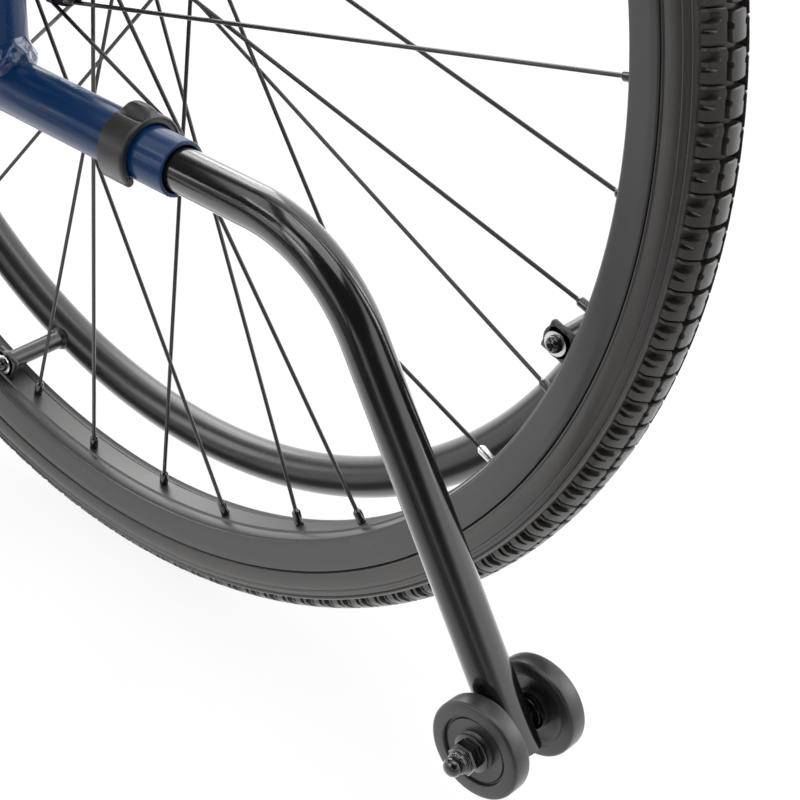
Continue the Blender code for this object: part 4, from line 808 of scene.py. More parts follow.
print("scene: rear wheels")
fitBoth(buildTyre(), "wheel", "tyre", "tyre")
fitBoth(buildRim(), "wheel", "satin_metal", "rim")
fitBoth(buildHandrim(), "wheel", "black_metal", "handrim")
fitBoth(buildSpokes(), "wheel", "black_metal", "hub_and_spokes")
fitBoth(buildAxle(), "frame", "bright_steel", "rear_axle")


# Side frame

def crossing(centre, through, into, gap=0.0006):
    # Loop where a tube from centre along into leaves a tube of the same size that runs along through
    side = through.cross(into).normalized()
    loop = []
    for index in range(40):
        angle = 2 * pi * index / 40
        across = tubeRadius * sin(angle)
        lift = sqrt(max((tubeRadius + gap) ** 2 - across ** 2, 0.0))
        loop.append(centre + through * tubeRadius * cos(angle) + side * across + into * lift)
    return loop


swellSizes = {"low": -0.0015, "high": 0.0105, "rows": 12, "around": 96, "foot": 0.0026, "crown": 0.0020,
              "lump": 0.0005}


def weldSwell(foot, through, into):
    # Uneven run of filler metal round the foot of the push cane, where it stands on the lower tube
    sizes = swellSizes
    side = through.cross(into).normalized()
    rows, around = sizes["rows"], sizes["around"]
    points = []
    for step in range(around):
        angle = 2 * pi * step / around
        out = through * cos(angle) + side * sin(angle)
        lift = tubeRadius * abs(cos(angle))
        ring = [(tubeRadius - 0.001, sizes["low"])]
        for row in range(rows + 1):
            share = row / rows
            lump = sizes["lump"] * (sin(7 * angle + 6 * share) + 0.7 * sin(12 * angle - 8 * share))
            swell = sizes["foot"] * (1 - share) ** 2 + (sizes["crown"]
                                                        + lump) * sin(pi * share) - 0.0002 * share
            ring.append((tubeRadius + swell, sizes["low"] + (sizes["high"] - sizes["low"]) * share))
        ring.append((tubeRadius - 0.001, sizes["high"]))
        points += [foot + out * reach + into * (lift + rise) for reach, rise in ring]
    return shapeFrom("swell", weldPaint, points, loftFaces(around, rows + 3, True), 50)


frameSizes = {"caneBend": 0.050, "handleReach": 0.140, "frontBend": 0.035, "slope": 1.2, "mouth": 0.106,
              "bore": 0.0096,
              "housingLength": 0.063, "lugs": (0.032, 0.145), "lugHeight": 0.008, "socketBack": 0.295}
slope = radians(frameSizes["slope"])


def receiverPoint(distance):
    # A point on the middle line of the lower tube's sloping end, a distance behind the axle
    return Vector((frameX, axleY + distance, lowerZ - distance * tan(slope)))


def buildTubes():
    sizes = frameSizes
    cane = roundedPath([(frameX, axleY, lowerZ), (frameX, axleY, caneZ),
                        (frameX, axleY + sizes["handleReach"], caneZ)],
                       sizes["caneBend"])
    upper = roundedPath([(frameX, axleY, upperZ), (frameX, postY, upperZ),
                         (frameX, postY, housingZ + sizes["housingLength"] - 0.005)], sizes["frontBend"])
    lower = [receiverPoint(0.004), receiverPoint(0), (frameX, postY, lowerZ)]
    pieces = [tube("run", bluePaint, path, tubeSize) for path in (cane, upper, lower)]
    length, bore = sizes["mouth"] / cos(slope), sizes["bore"]
    mouth = [(bore - 0.0002, 0.002), (tubeRadius, 0.002), (tubeRadius, length - 0.0007),
             (tubeRadius - 0.0002, length - 0.0002), (tubeRadius - 0.0007, length), (bore + 0.0003, length),
             (bore, length - 0.0003), (bore - 0.0002, length - 0.030)]
    pieces.append(spindle("receiver", bluePaint, mouth, receiverPoint(0), receiverPoint(1) - receiverPoint(0),
                          72, True))
    rise = [(0.0063, 0.0), (0.0160, 0.0), (0.0170, 0.0010), (0.0170, 0.0080), (0.0155, 0.0095),
            (0.0155, 0.0520),
            (0.0170, 0.0535), (0.0170, 0.0620), (0.0160, 0.0630), (0.0135, 0.0645), (0, 0.0660)]
    pieces.append(lathe("housing", bluePaint, rise, (frameX, postY, housingZ), "Z"))
    return pieces


def buildHangerLugs():
    sizes = frameSizes
    pieces = []
    for drop in sizes["lugs"]:
        top, low = upperZ - drop, upperZ - drop - sizes["lugHeight"]
        place = (frameX, hangerPivot.y, 0)
        pieces += [
            block("lug", bluePaint, (frameX - 0.007, hangerPivot.y - 0.006, low),
                  (frameX + 0.007, postY - 0.006, top), 0.0015),
            lathe("lugEnd", bluePaint, [(0, low), (0.0062, low), (0.007, low + 0.0008), (0.007, top - 0.0008),
                                        (0.0062, top), (0, top)], place, "Z", 32),
            lathe("hangerPin", brightSteel, [(0, top - 0.001), (0.0049, top - 0.001), (0.0049, top + 0.0225),
                                             (0.0036, top + 0.024), (0, top + 0.024)], place, "Z", 32)]
    return pieces


def buildArmSocket():
    # Lug and pin of the armrest's pivot, and the open channel that its front leg drops into
    x, y, z = armPivot
    headX = x - 0.0073
    half, wall, floor = 0.0093, 0.002, upperZ + 0.0165
    inner, top = frameX - tubeRadius + 0.0014, floor + 0.018
    channel = [(inner, upperZ - 0.006), (inner, floor), (x + half + wall, floor + 0.003),
               (x + half + wall, top),
               (x + half, top), (x + half, floor), (x - half, floor), (x - half, top), (x - half - wall, top),
               (x - half - wall, floor - wall), (x + half - wall, floor - wall),
               (inner - 0.004, upperZ - 0.006)]
    return [
        block("armLug", bluePaint, (frameX - 0.0095, y - 0.011, z - 0.011),
              (frameX - 0.0035, axleY - 0.006, z + 0.011), 0.0015),
        spindle("armPin", brightSteel, rod(0.0039, 0, 0.026), (frameX - 0.006, y, z), (-1, 0, 0), 24),
        spindle("armHead", brightSteel, [(0, 0), (0.0069, 0), (0.0069, 0.0010), (0.0060, 0.0024),
                                         (0.0030, 0.0030),
                                         (0, 0.0030)], (headX, y, z), (-1, 0, 0)),
        sheetPlate("armSocket", bluePaint, channel, axleY - frameSizes["socketBack"], 0.020, 0.0005,
                   plane="XZ")]


def buildSideFrame():
    pieces = buildTubes() + buildHangerLugs() + buildArmSocket()
    foot = Vector((frameX, axleY, lowerZ))
    for place, through, into, seed in (((frameX, axleY, upperZ), up, ahead, 5), (foot, -ahead, up, 7),
                                       ((frameX, postY, lowerZ), up, -ahead, 9)):
        pieces.append(weldBead(crossing(Vector(place), through, into), 0.0023, seed))
    pieces.append(weldSwell(foot, -ahead, up))
    return gather("rightSideFrame", pieces)


collarSizes = {"start": 0.075, "length": 0.0143, "inner": 0.0119, "outer": 0.0154, "opening": 104.0,
               "humpAt": 95.0,
               "humpHeight": 0.0030, "humpWidth": 14.0, "scoopAt": 80.0, "scoopDepth": 0.0018,
               "scoopWidth": 10.0,
               "lip": 0.0020, "steps": 120,
               "runs": (0.0006, 0.0014, 0.0026, 0.0042, 0.0060, 0.0078, 0.0096, 0.0112, 0.0124, 0.0132)}


def collarSwell(angle, share):
    # Height of the press pad over the band, and the thumb scoop beside it
    sizes = collarSizes
    turn = (angle - sizes["humpAt"]) / sizes["humpWidth"]
    dip = (angle - sizes["scoopAt"]) / sizes["scoopWidth"]
    ends = max(1 - abs(2 * share - 1) ** 3.5, 0.0)
    hump = sizes["humpHeight"] * ends * max(1 - abs(turn) ** 3, 0.0)
    return hump - sizes["scoopDepth"] * ends * max(1 - dip * dip, 0.0) ** 1.5


def buildCollar():
    # Plastic clip open below, with a press pad above and a beaded lip at each lower end
    sizes = collarSizes
    inner, outer, long = sizes["inner"], sizes["outer"], sizes["length"]
    lip, steps = sizes["lip"], sizes["steps"]
    first, sweep = -90 + sizes["opening"] / 2, 360 - sizes["opening"]
    points = []
    for step in range(steps + 1):
        angle = first + sweep * step / steps
        section = [(inner, 0.0005), (inner + 0.0005, 0.0), (outer - 0.0006, 0.0)]
        section += [(outer + collarSwell(angle, run / long), run) for run in sizes["runs"]]
        section += [(outer - 0.0002, long - 0.0004), (outer - 0.0006, long), (outer - 0.0011, long),
                    (outer - 0.0014, long - 0.0005), (inner + 0.0006, long - 0.0005), (inner, long - 0.0011)]
        turn = radians(angle)
        points += [Vector((radius * cos(turn), run, radius * sin(turn))) for radius, run in section]
    pieces = [shapeFrom("ring", grainedPlastic, points, loftFaces(steps + 1, len(section)), 40)]
    bead = [(0, 0.0001), (lip - 0.0003, 0.0001), (lip, 0.0005), (lip, long - 0.0005),
            (lip - 0.0003, long - 0.0001),
            (0, long - 0.0001)]
    radius = (inner + outer) / 2
    for angle in (radians(first), radians(first + sweep)):
        pieces.append(lathe("lip", grainedPlastic, bead, (radius * cos(angle), 0, radius * sin(angle)), "Y",
                            20))
    rearTurn = Matrix.Rotation(-slope, 4, "X")
    return moved(gather("rightCollar", pieces), Matrix.Translation(receiverPoint(sizes["start"])) @ rearTurn)


# Anti-tip bar

barSizes = {"tube": 0.018, "insert": 0.080, "corner": 0.1821, "bend": 0.066, "angle": 59.1, "end": 0.011}
tipMiddle = Vector((frameX, tipCentre.y, tipCentre.z))


def buildBar():
    sizes = barSizes
    run = Vector((0, cos(radians(sizes["angle"])), -sin(radians(sizes["angle"]))))
    end = tipMiddle + run * sizes["end"]
    path = roundedPath([receiverPoint(frameSizes["mouth"] - sizes["insert"]), receiverPoint(sizes["corner"]),
                        end],
                       sizes["bend"], step=2.0)
    plug = [(0, -0.0002), (0.0076, -0.0002), (0.0076, 0.0001), (0.0084, 0.0001), (0.0086, -0.0002)]
    return gather("rightBar", [tube("bar", glossBlack, path, sizes["tube"], 72),
                               spindle("plug", satinBlack, plug, end, run, 48)])


tipSizes = {"radius": 0.0202, "width": 0.0087, "gap": 0.0238, "shaft": 0.0039, "nut": 0.0116,
            "nutStart": 0.0014}


def buildTipCastor(name, side):
    # Small moulded wheel: rounded tread edges, a circle groove outside and a deep dish towards the bar
    sizes = tipSizes
    half, radius = sizes["width"] / 2, sizes["radius"]
    tread = [(radius - 0.0014, 0.0), (radius - 0.0007, 0.0002), (radius - 0.0002, 0.0007), (radius, 0.0014)]
    # (radius, depth under the face)
    outside = [(0.0042, 0.0002), (0.0070, 0.0002), (0.0074, 0.0008), (0.0080, 0.0013), (0.0130, 0.0010),
               (0.0135, 0.0016), (0.0140, 0.0016), (0.0144, 0.0004), (0.0149, 0.0)] + tread
    inside = tread[::-1] + [(0.0156, 0.0), (0.0150, 0.0004), (0.0140, 0.0018), (0.0126, 0.0024),
                            (0.0082, 0.0026),
                            (0.0078, 0.0004), (0.0073, 0.0001), (0.0042, 0.0001)]
    profile = [(wide, side * (half - deep)) for wide, deep in outside]
    profile += [(wide, side * (deep - half)) for wide, deep in inside]
    centre = tipMiddle + Vector((side * (sizes["gap"] + sizes["width"]) / 2, 0, 0))
    return lathe(name, castorRubber, profile, centre, steps=96, closed=True, angle=32)


def buildTipAxle():
    sizes = tipSizes
    shaft, face = sizes["shaft"], sizes["gap"] / 2 + sizes["width"]
    out = Vector((1, 0, 0))
    pieces = [lathe("rod", glossBlack, [(0, -face - 0.006), (shaft - 0.0005, -face - 0.0055), (shaft, -face),
                                        (shaft, face),
                                        (shaft - 0.0005, face + 0.004), (0, face + 0.004)], tipMiddle,
                                        steps=32)]
    for side in (1, -1):
        for run, wide, thick in ((0.0093, 0.0066, 0.0010), (0.0103, 0.0078, 0.0012),
                                 (face + 0.0003, 0.0078, 0.0010)):
            washer = [(0, 0.0), (wide - 0.0003, 0.0), (wide, 0.0002), (wide, thick - 0.0002),
                      (wide - 0.0003, thick),
                      (0, thick)]
            pieces.append(spindle("washer", glossBlack, washer, tipMiddle + side * run * out, side * out, 48))
    start = tipMiddle + out * (face + sizes["nutStart"])
    capStart = start + out * 0.0048
    cap = [(0, 0), (0.0048, 0), (0.0050, 0.0003), (0.0050, 0.0009), (0.0047, 0.0012), (0.0041, 0.0013),
           (0.0040, 0.0018), (0.0043, 0.0022), (0.0043, 0.0027), (0.0038, 0.0031), (0.0034, 0.0033),
           (0.0037, 0.0042),
           (0.0038, 0.0052), (0.0036, 0.0062), (0.0029, 0.0072), (0.0016, 0.0079), (0, 0.0081)]
    pieces += [hexNut(sizes["nut"], 0.0050, glossBlack, start, out),
               spindle("cap", glossBlack, cap, capStart, out, 40)]
    for run, wide in ((0.0004, 0.00505), (0.0023, 0.00435)):
        ring = [(wide - 0.0006, 0), (wide, 0), (wide, 0.0004), (wide - 0.0006, 0.0004)]
        pieces.append(spindle("ring", brightSteel, ring, capStart + out * run, out, 40, True))
    head = tipMiddle - out * (face + sizes["nutStart"])
    return gather("rightTipAxle", pieces + [hexNut(sizes["nut"], 0.0036, glossBlack, head, -out)])


print("scene: side frames and anti-tip bars")
fitBoth(buildSideFrame(), "frame", "frame_blue", "side_frame")
fitBoth(buildCollar(), "frame", "black_plastic", "receiver_collar")
fitBoth(buildBar(), "bar", "black_metal", "anti_tip_bar")
fitBoth(buildTipCastor("rightTipCastorInner", 1), "tip_castor_inner", "castor_rubber",
        "anti_tip_castor_inner")
fitBoth(buildTipCastor("rightTipCastorOuter", -1), "tip_castor_outer", "castor_rubber",
        "anti_tip_castor_outer")
fitBoth(buildTipAxle(), "bar", "black_metal", "anti_tip_axle")


# Handles, guides and armrests

gripSizes = {"start": 0.0535, "end": 0.144, "thickness": 0.032, "ribs": 11, "ribDepth": 0.0016}


def buildGrip():
    # Soft sleeve with a flange, rings of finger ribs and a domed closed end
    sizes = gripSizes
    outer, start, end, deep = sizes["thickness"] / 2, sizes["start"], sizes["end"], sizes["ribDepth"]
    profile = [(tubeRadius + 0.0004, start + 0.0004), (tubeRadius + 0.0010, start), (outer + 0.0014, start),
               (outer + 0.0018, start + 0.0005), (outer + 0.0018, start + 0.0030),
               (outer + 0.0012, start + 0.0036),
               (outer - 0.0006, start + 0.0044)]
    pitch = (end - start - 0.016) / sizes["ribs"]
    for index in range(sizes["ribs"]):
        low = start + 0.007 + index * pitch
        profile += [(outer - sunk, low + pitch * share) for sunk, share in (
            (deep, 0), (deep, 0.30), (0.0003, 0.42), (0, 0.55), (0, 0.80), (0.0003, 0.92))]
    profile += [(outer - 0.0004, end - 0.0050), (outer - 0.0012, end - 0.0024),
                (outer - 0.0032, end - 0.0007),
                (outer - 0.0060, end), (0.0050, end), (0.0042, end - 0.0006), (0, end - 0.0006)]
    return lathe("rightGrip", gripRubber, profile, (frameX, axleY, caneZ), "Y")


guideSizes = {"length": 0.0198, "ring": 0.0149, "saddleGap": 0.0010, "holeGap": 0.0003}


def buildSeatGuide(name, node):
    # Moulded saddle: a ring round the upper tube and a cradle for the seat rail in one plate, with a screw
    low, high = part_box("right_" + node)
    middle = (low.y + high.y) / 2
    x, saddle, ring = -abs(railX), tubeRadius + guideSizes["saddleGap"], guideSizes["ring"]
    turns = [radians(100 + step * 250 / 24) for step in range(25)]
    outline = [(frameX + ring * cos(turn), upperZ + ring * sin(turn)) for turn in turns]
    outline += [(x + across, railZ + rise) for across, rise in (
        (0.0105, -0.0145), (0.0135, -0.0115), (0.0141, -0.0060), (0.0141, 0.0032), (0.0136, 0.0039),
        (saddle, 0.0036))]
    outline += [(x + saddle * cos(radians(10 * step)), railZ - saddle * sin(radians(10 * step)))
                for step in range(19)]
    outline += [(x - saddle, railZ + 0.0036), (x - 0.0136, railZ + 0.0039), (x - 0.0148, railZ + 0.0032)]
    hole = circle((frameX, upperZ), tubeRadius + guideSizes["holeGap"], 32)
    form = sheetPlate("saddle", grainedPlastic, outline, middle, guideSizes["length"], 0.0007, holes=[hole],
                      plane="XZ")
    screw = crossScrew(0.0062, 0.0018, brightSteel, (frameX - 0.0146, middle, upperZ - 0.001), (-1, 0, 0))
    return gather(name, [form, screw])


armSizes = {"tube": 0.018, "bend": 0.030, "top": 0.115, "front": 0.295, "foot": 0.0168, "padBack": 0.073,
            "padFront": 0.305, "screwAt": (0.30, 0.80)}


def buildArmTube():
    sizes = armSizes
    x, y, z = armPivot
    top, legY, half = z + sizes["top"], axleY - sizes["front"], sizes["tube"] / 2
    path = roundedPath([(x, y, z), (x, y, top), (x, legY, top), (x, legY, upperZ + sizes["foot"])],
                       sizes["bend"])
    boss = disc(0.0109, 0.0021 - half, half - 0.0021, 0.0005, 0.0043)
    pieces = [tube("arm", bluePaint, path, sizes["tube"]),
              lathe("boss", bluePaint, boss, armPivot, steps=48, closed=True)]
    for share in sizes["screwAt"]:
        screwY = axleY - sizes["padBack"] - share * (sizes["padFront"] - sizes["padBack"])
        pieces.append(crossScrew(0.0070, 0.0022, brightSteel, (x, screwY, top - half + 0.0002), -up))
    return gather("rightArmTube", pieces)


padSizes = {"corner": 0.0105, "under": 0.45, "crown": 0.0022, "pinch": 0.035, "cuts": (10, 40, 8)}


def buildArmPad():
    # A padded block: crowned above, sides drawn in between its corners, flat below
    sizes = padSizes
    low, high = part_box("right_arm_pad")
    middle, half = (low + high) / 2, (high - low) / 2
    points, faces, index = [], [], {}

    def spot(u, v, w):
        place = Vector((u * half.x, v * half.y, w * half.z))
        reach = sizes["corner"] * (1 if w > 0 else sizes["under"])
        inset = Vector([max(abs(part) - (side - reach), 0.0) for part, side in zip(place, half)])
        if inset.length > reach:
            pull = inset * (1 - reach / inset.length)
            place -= Vector([part if along > 0 else -part for part, along in zip(pull, place)])
        if w > 0:
            place.z -= sizes["crown"] * (1 - (1 - u * u) * (1 - v ** 6)) * w ** 2
        place.x *= 1 - sizes["pinch"] * (1 - w * w) * (1 - v ** 4)
        return middle + place

    def vertex(*key):
        if key not in index:
            index[key] = len(points)
            points.append(spot(*[2 * step / count - 1 for step, count in zip(key, sizes["cuts"])]))
        return index[key]

    def quad(first, second, third, fourth, level):
        # One face on the near and one on the far side, given by the near corners
        faces.append([vertex(*corner) for corner in (first, second, third, fourth)])
        axis, far = level
        ends = [tuple(far if place == axis else part for place, part in enumerate(corner))
                for corner in (first, fourth, third, second)]
        faces.append([vertex(*corner) for corner in ends])

    nx, ny, nz = sizes["cuts"]
    for i in range(nx):
        for j in range(ny):
            quad((i, j, 0), (i, j + 1, 0), (i + 1, j + 1, 0), (i + 1, j, 0), (2, nz))
    for i in range(nx):
        for k in range(nz):
            quad((i, 0, k), (i + 1, 0, k), (i + 1, 0, k + 1), (i, 0, k + 1), (1, ny))
    for j in range(ny):
        for k in range(nz):
            quad((0, j, k), (0, j, k + 1), (0, j + 1, k + 1), (0, j + 1, k), (0, nx))
    return shapeFrom("rightArmPad", padVinyl, points, faces, 70)


guardSizes = {"thickness": 0.0030, "corner": 0.024, "aboveArm": 0.018, "rib": 0.0022, "inset": 0.030}


def buildSideGuard():
    sizes = guardSizes
    low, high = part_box("right_side_guard")
    middle, back, front, pivot = (low.x + high.x) / 2, high.y, low.y, armPivot.z + sizes["aboveArm"]
    outline = [(back, high.z), (back, pivot), (back - 0.012, pivot - 0.024), (back - 0.012, low.z),
               (front, low.z),
               (front, high.z)]
    pieces = [sheetPlate("guard", grainedPlastic, flatPath(outline, sizes["corner"], 8), middle,
                         sizes["thickness"])]
    near, far, base, top = front + sizes["inset"], back - 0.045, low.z + sizes["inset"], high.z - 0.034
    for side in (1, -1):
        x = middle + side * 0.0012
        ring = roundedPath([(x, near, base), (x, far, base), (x, far, top), (x, near, top)], 0.016, True, 10)
        pieces.append(tube("rib", grainedPlastic, ring, sizes["rib"], 10, True))
    return gather("rightSideGuard", pieces)


# Wheel lock

lockSizes = {"plate": 0.004, "stud": 0.0078, "mount": 0.0155, "clamp": 0.015, "clampHalf": 0.0100,
             "gap": 0.0003}
lever, shoe = jointAt["right_lever_turn"], jointAt["right_shoe_turn"]


def buildBrakeMount():
    sizes = lockSizes
    middle, radius, wide, half = shoe.y, sizes["clamp"], sizes["clampHalf"], sizes["plate"] / 2
    mount = frameX - sizes["mount"]
    clamp = disc(radius, -wide, wide, 0.0006, tubeRadius + 0.0003)
    outline = [(middle + wide, upperZ + 0.006), (middle - wide, upperZ + 0.006),
               (lever.y - 0.012, lever.z + 0.008),
               (lever.y - 0.012, lever.z - 0.012), (middle + 0.014, shoe.z - 0.012),
               (middle + 0.014, shoe.z + 0.012)]
    pieces = [lathe("clamp", satinBlack, clamp, (frameX, middle, upperZ), "Y", 56, True),
              sheetPlate("lockPlate", satinBlack, flatPath(outline, 0.0025, 20), mount, sizes["plate"],
                         0.0005)]
    for spot in (lever, shoe):
        outside, inside = spot.x - half - sizes["gap"], spot.x + half + sizes["gap"]
        start = (mount, spot.y, spot.z)
        pieces += [spindle("stud", brightSteel, rod(sizes["stud"] / 2, 0, mount - outside), start, (-1, 0, 0),
                           24),
                   hexNut(0.0112, 0.0030, brightSteel, (outside, spot.y, spot.z), (-1, 0, 0))]
        if inside < mount - half - 0.001:
            pieces.append(spindle("spacer", satinBlack, rod(0.0058, 0, mount - inside), start, (-1, 0, 0)))
    pieces.append(crossScrew(0.0070, 0.0020, brightSteel, (frameX, middle, upperZ - radius + 0.0003), -up))
    return gather("rightBrakeMount", pieces)


def buildBrakeLever():
    tilt = radians(15)
    rise = Vector((0, -sin(tilt), cos(tilt)))
    half = lockSizes["plate"] / 2
    knob = [(0, 0), (0.0058, 0), (0.0068, 0.0008), (0.0072, 0.0030), (0.0080, 0.0180), (0.0084, 0.0300),
            (0.0082, 0.0420), (0.0074, 0.0510), (0.0060, 0.0545), (0.0036, 0.0558), (0, 0.0562)]
    return gather("rightBrakeLever", [
        lathe("disc", satinBlack, [(0.0042, -half), (0.0112, -half), (0.0118, -half + 0.0005),
                                   (0.0118, half - 0.0005),
                                   (0.0112, half), (0.0042, half)], lever, steps=48, closed=True),
        tube("arm", satinBlack, [lever + rise * 0.0115, lever + rise * 0.115], 0.0078, 32),
        spindle("knob", gripRubber, knob, lever + rise * 0.105, rise, 48)])


def buildBrakeShoe():
    end = Vector((shoe.x, axleY - 0.292, upperZ - 0.015))
    run = (end - shoe).normalized()
    side = Vector((0, -run.z, run.y)) * 0.008
    start, stop = shoe - run * 0.004, end + run * 0.004
    outline = [(spot.y, spot.z) for spot in (start - side, stop - side, stop + side, start + side)]
    length = shoe.x - wheelCentre.x + 0.0155
    pin = [(0, 0), (0.0049, 0), (0.0049, length - 0.0008), (0.0042, length), (0, length)]
    return gather("rightBrakeShoe", [
        sheetPlate("arm", satinBlack, flatPath(outline, 0.0066), shoe.x, lockSizes["plate"], 0.0006),
        spindle("pin", satinBlack, pin, end, (-1, 0, 0), 40),
        hexNut(0.0100, 0.0028, brightSteel, end + Vector((0.0020, 0, 0)), (1, 0, 0))])


# Front castor

forkSizes = {"gap": 0.0155, "blade": 0.004, "crown": 0.012, "axleHole": 0.0043}


def buildFork():
    sizes = forkSizes
    x, y, z, top = frameX, castorCentre.y, castorCentre.z, housingZ - 0.001
    inner, outer = sizes["gap"], sizes["gap"] + sizes["blade"]
    outline = [(postY - 0.0135, top - 0.0015), (postY + 0.0195, top - 0.0015), (y + 0.012, z + 0.006),
               (y + 0.010, z - 0.009), (y - 0.002, z - 0.0125), (y - 0.0125, z - 0.006),
               (y - 0.014, z + 0.006)]
    outline = flatPath(outline, [0.002, 0.002, 0.012, 0.008, 0.008, 0.008, 0.02])
    hole = circle((y, z), sizes["axleHole"], 24)
    race = [(0, top - 0.001), (0.0120, top - 0.001), (0.0120, top + 0.0006), (0.0100, top + 0.0008),
            (0, top + 0.0008)]
    pieces = [block("crown", satinBlack, (x - outer, postY - 0.0155, top - sizes["crown"]),
                    (x + outer, postY + 0.0215, top),
                    0.0028, 4)]
    for side in (1, -1):
        pieces.append(sheetPlate("blade", satinBlack, outline, x + side * (inner + outer) / 2, sizes["blade"],
                                 holes=[hole]))
    return gather("rightFork", pieces + [lathe("race", brightSteel, race, (x, postY, 0), "Z", 48)])


castorSizes = {"radius": 0.075, "width": 0.025, "spokes": 8, "web": 0.0016, "nut": 0.0108}


def buildCastorWheel():
    sizes = castorSizes
    half, radius, web = sizes["width"] / 2, sizes["radius"], sizes["web"]
    tread = [(0.0585, half - 0.0030), (0.0598, half - 0.0008), (0.0620, half - 0.0002), (0.0660, half),
             (radius - 0.0060, half - 0.0006), (radius - 0.0028, half - 0.0024),
             (radius - 0.0009, half - 0.0050),
             (radius - 0.0002, half - 0.0080)]
    rim = [(0.0535, 0.0036), (0.0545, half - 0.0045), (0.0560, half - 0.0030), (0.0592, half - 0.0028)]
    hub = [(0.0043, half + 0.0018), (0.0120, half + 0.0018), (0.0128, half + 0.0010), (0.0150, 0.0050),
           (0.0165, 0.0030)]
    forms = ((castorRubber, bothWays(tread, [(radius, 0)]), 96),
             (grainedPlastic, bothWays(rim, [(0.0592, 0.0)]), 96),
             (grainedPlastic, bothWays(hub), 64), (grainedPlastic, bothWays([(0.0150, web), (0.0548, web)]),
                                                   96))
    pieces = [lathe("round", material, profile, castorCentre, steps=steps, closed=True) for material, profile,
              steps in forms]
    spoke = block("spoke", grainedPlastic, (-0.0045, 0.0150, -0.0032), (0.0045, 0.0600, 0.0032), 0.0012, 2)
    pieces.append(roundAxle("castorSpokes", grainedPlastic, spoke, sizes["spokes"], castorCentre))
    return gather("rightCastorWheel", pieces)


def buildCastorAxle():
    face = castorSizes["width"] / 2 + 0.003 + forkSizes["blade"] + 0.0003
    shaft = [(0, -face), (0.0039, -face), (0.0039, face + 0.0050), (0.0034, face + 0.0056),
             (0, face + 0.0056)]
    nuts, washers = [], []
    for side, height in ((-1, 0.0040), (1, 0.0042)):
        out = Vector((side, 0, 0))
        nuts.append(hexNut(castorSizes["nut"], height, brightSteel, castorCentre + out * (face + 0.0008),
                           out))
        washers.append(spindle("washer", brightSteel, rod(0.0064, 0, 0.0008), castorCentre + out * face, out,
                               40))
    bolt = lathe("shaft", brightSteel, shaft, castorCentre, steps=32)
    return gather("rightCastorAxle", [bolt] + nuts + washers)


# Hanger, footrest and footplate

hangerSizes = {"slope": 25.0, "bend": 0.050, "ahead": 0.019, "drop": 0.155, "endZ": 0.155, "knuckle": 0.009,
               "length": 0.020, "knobBack": 0.022, "overlap": 0.075}
hangerTilt = radians(hangerSizes["slope"])
hangerY = hangerPivot.y - hangerSizes["ahead"]


def slopePoint(back=0.0):
    # A point of the sloping leg's middle line, a distance back up from its lower end
    distance = (upperZ - hangerSizes["drop"] - hangerSizes["endZ"]) / cos(hangerTilt) - back
    bendZ = upperZ - hangerSizes["drop"]
    return Vector((frameX, hangerY - distance * sin(hangerTilt), bendZ - distance * cos(hangerTilt)))


def buildHanger():
    sizes = hangerSizes
    end, bend = slopePoint(), Vector((frameX, hangerY, upperZ - sizes["drop"]))
    run = (end - bend).normalized()
    out = Vector((0, -cos(hangerTilt), sin(hangerTilt)))
    path = roundedPath([(frameX, hangerY, upperZ + 0.0085), bend, end - run * 0.0006], sizes["bend"])
    cap = [(0, 0.0096), (0.0052, 0.0093), (0.0088, 0.0084), (0.0108, 0.0070), (0.0112, 0.0062),
           (0.0112, 0.0040),
           (0, 0.0040)]
    mouth = [(tubeRadius, -0.003), (tubeRadius, -0.0004), (tubeRadius - 0.0004, 0.0), (0.0097, 0.0),
             (0.0094, -0.0004),
             (0.0094, -0.003)]
    pieces = [tube("arm", bluePaint, path, tubeSize),
              lathe("cap", grainedPlastic, cap, (frameX, hangerY, upperZ), "Z", 48),
              spindle("mouth", bluePaint, mouth, end, run, 48, True)]
    for drop in frameSizes["lugs"]:
        low = upperZ - drop + 0.0003
        high = low + sizes["length"]
        pieces += [lathe("knuckle", bluePaint, disc(sizes["knuckle"], low, high, 0.0005, 0.0053),
                         (frameX, hangerPivot.y, 0), "Z", 48, True),
                   block("web", bluePaint, (frameX - 0.006, hangerY, low + 0.001),
                         (frameX + 0.006, hangerPivot.y - 0.006, high - 0.001), 0.0014)]
    knob = [(0, -0.001), (0.0052, -0.001), (0.0052, 0.0016), (0.0044, 0.0022), (0, 0.0024)]
    spot = slopePoint(sizes["knobBack"]) + out * (tubeRadius - 0.0005)
    return gather("rightHanger", pieces + [spindle("knob", brightSteel, knob, spot, out, 24)])


plateSizes = {"thickness": 0.010, "drop": 0.018, "ribs": 9, "front": 0.1283, "depth": 0.137,
              "pinAhead": 0.085,
              "knuckleAhead": 0.0863, "ribLength": 0.096, "ribSpan": 0.100}
plateFront = plateBarrel.y - plateSizes["front"]


def buildFootrestTube():
    back, pinFront = plateBarrel.y + 0.0100, plateFront + plateSizes["pinAhead"]
    place = (frameX, 0, plateBarrel.z)
    barrel = [(0, back), (0.0072, back), (0.0080, back - 0.0008), (0.0080, pinFront), (0, pinFront)]
    cap = [(0, pinFront + 0.0010), (0.0098, pinFront + 0.0010), (0.0100, pinFront + 0.0004),
           (0.0100, pinFront - 0.0018),
           (0.0088, pinFront - 0.0030), (0, pinFront - 0.0030)]
    return gather("rightFootrest", [
        tube("stem", satinBlack, [slopePoint(hangerSizes["overlap"]), plateBarrel], 0.0180),
        lathe("barrel", satinBlack, barrel, place, "Y", 48),
        lathe("endCap", grainedPlastic, cap, place, "Y", 48)])


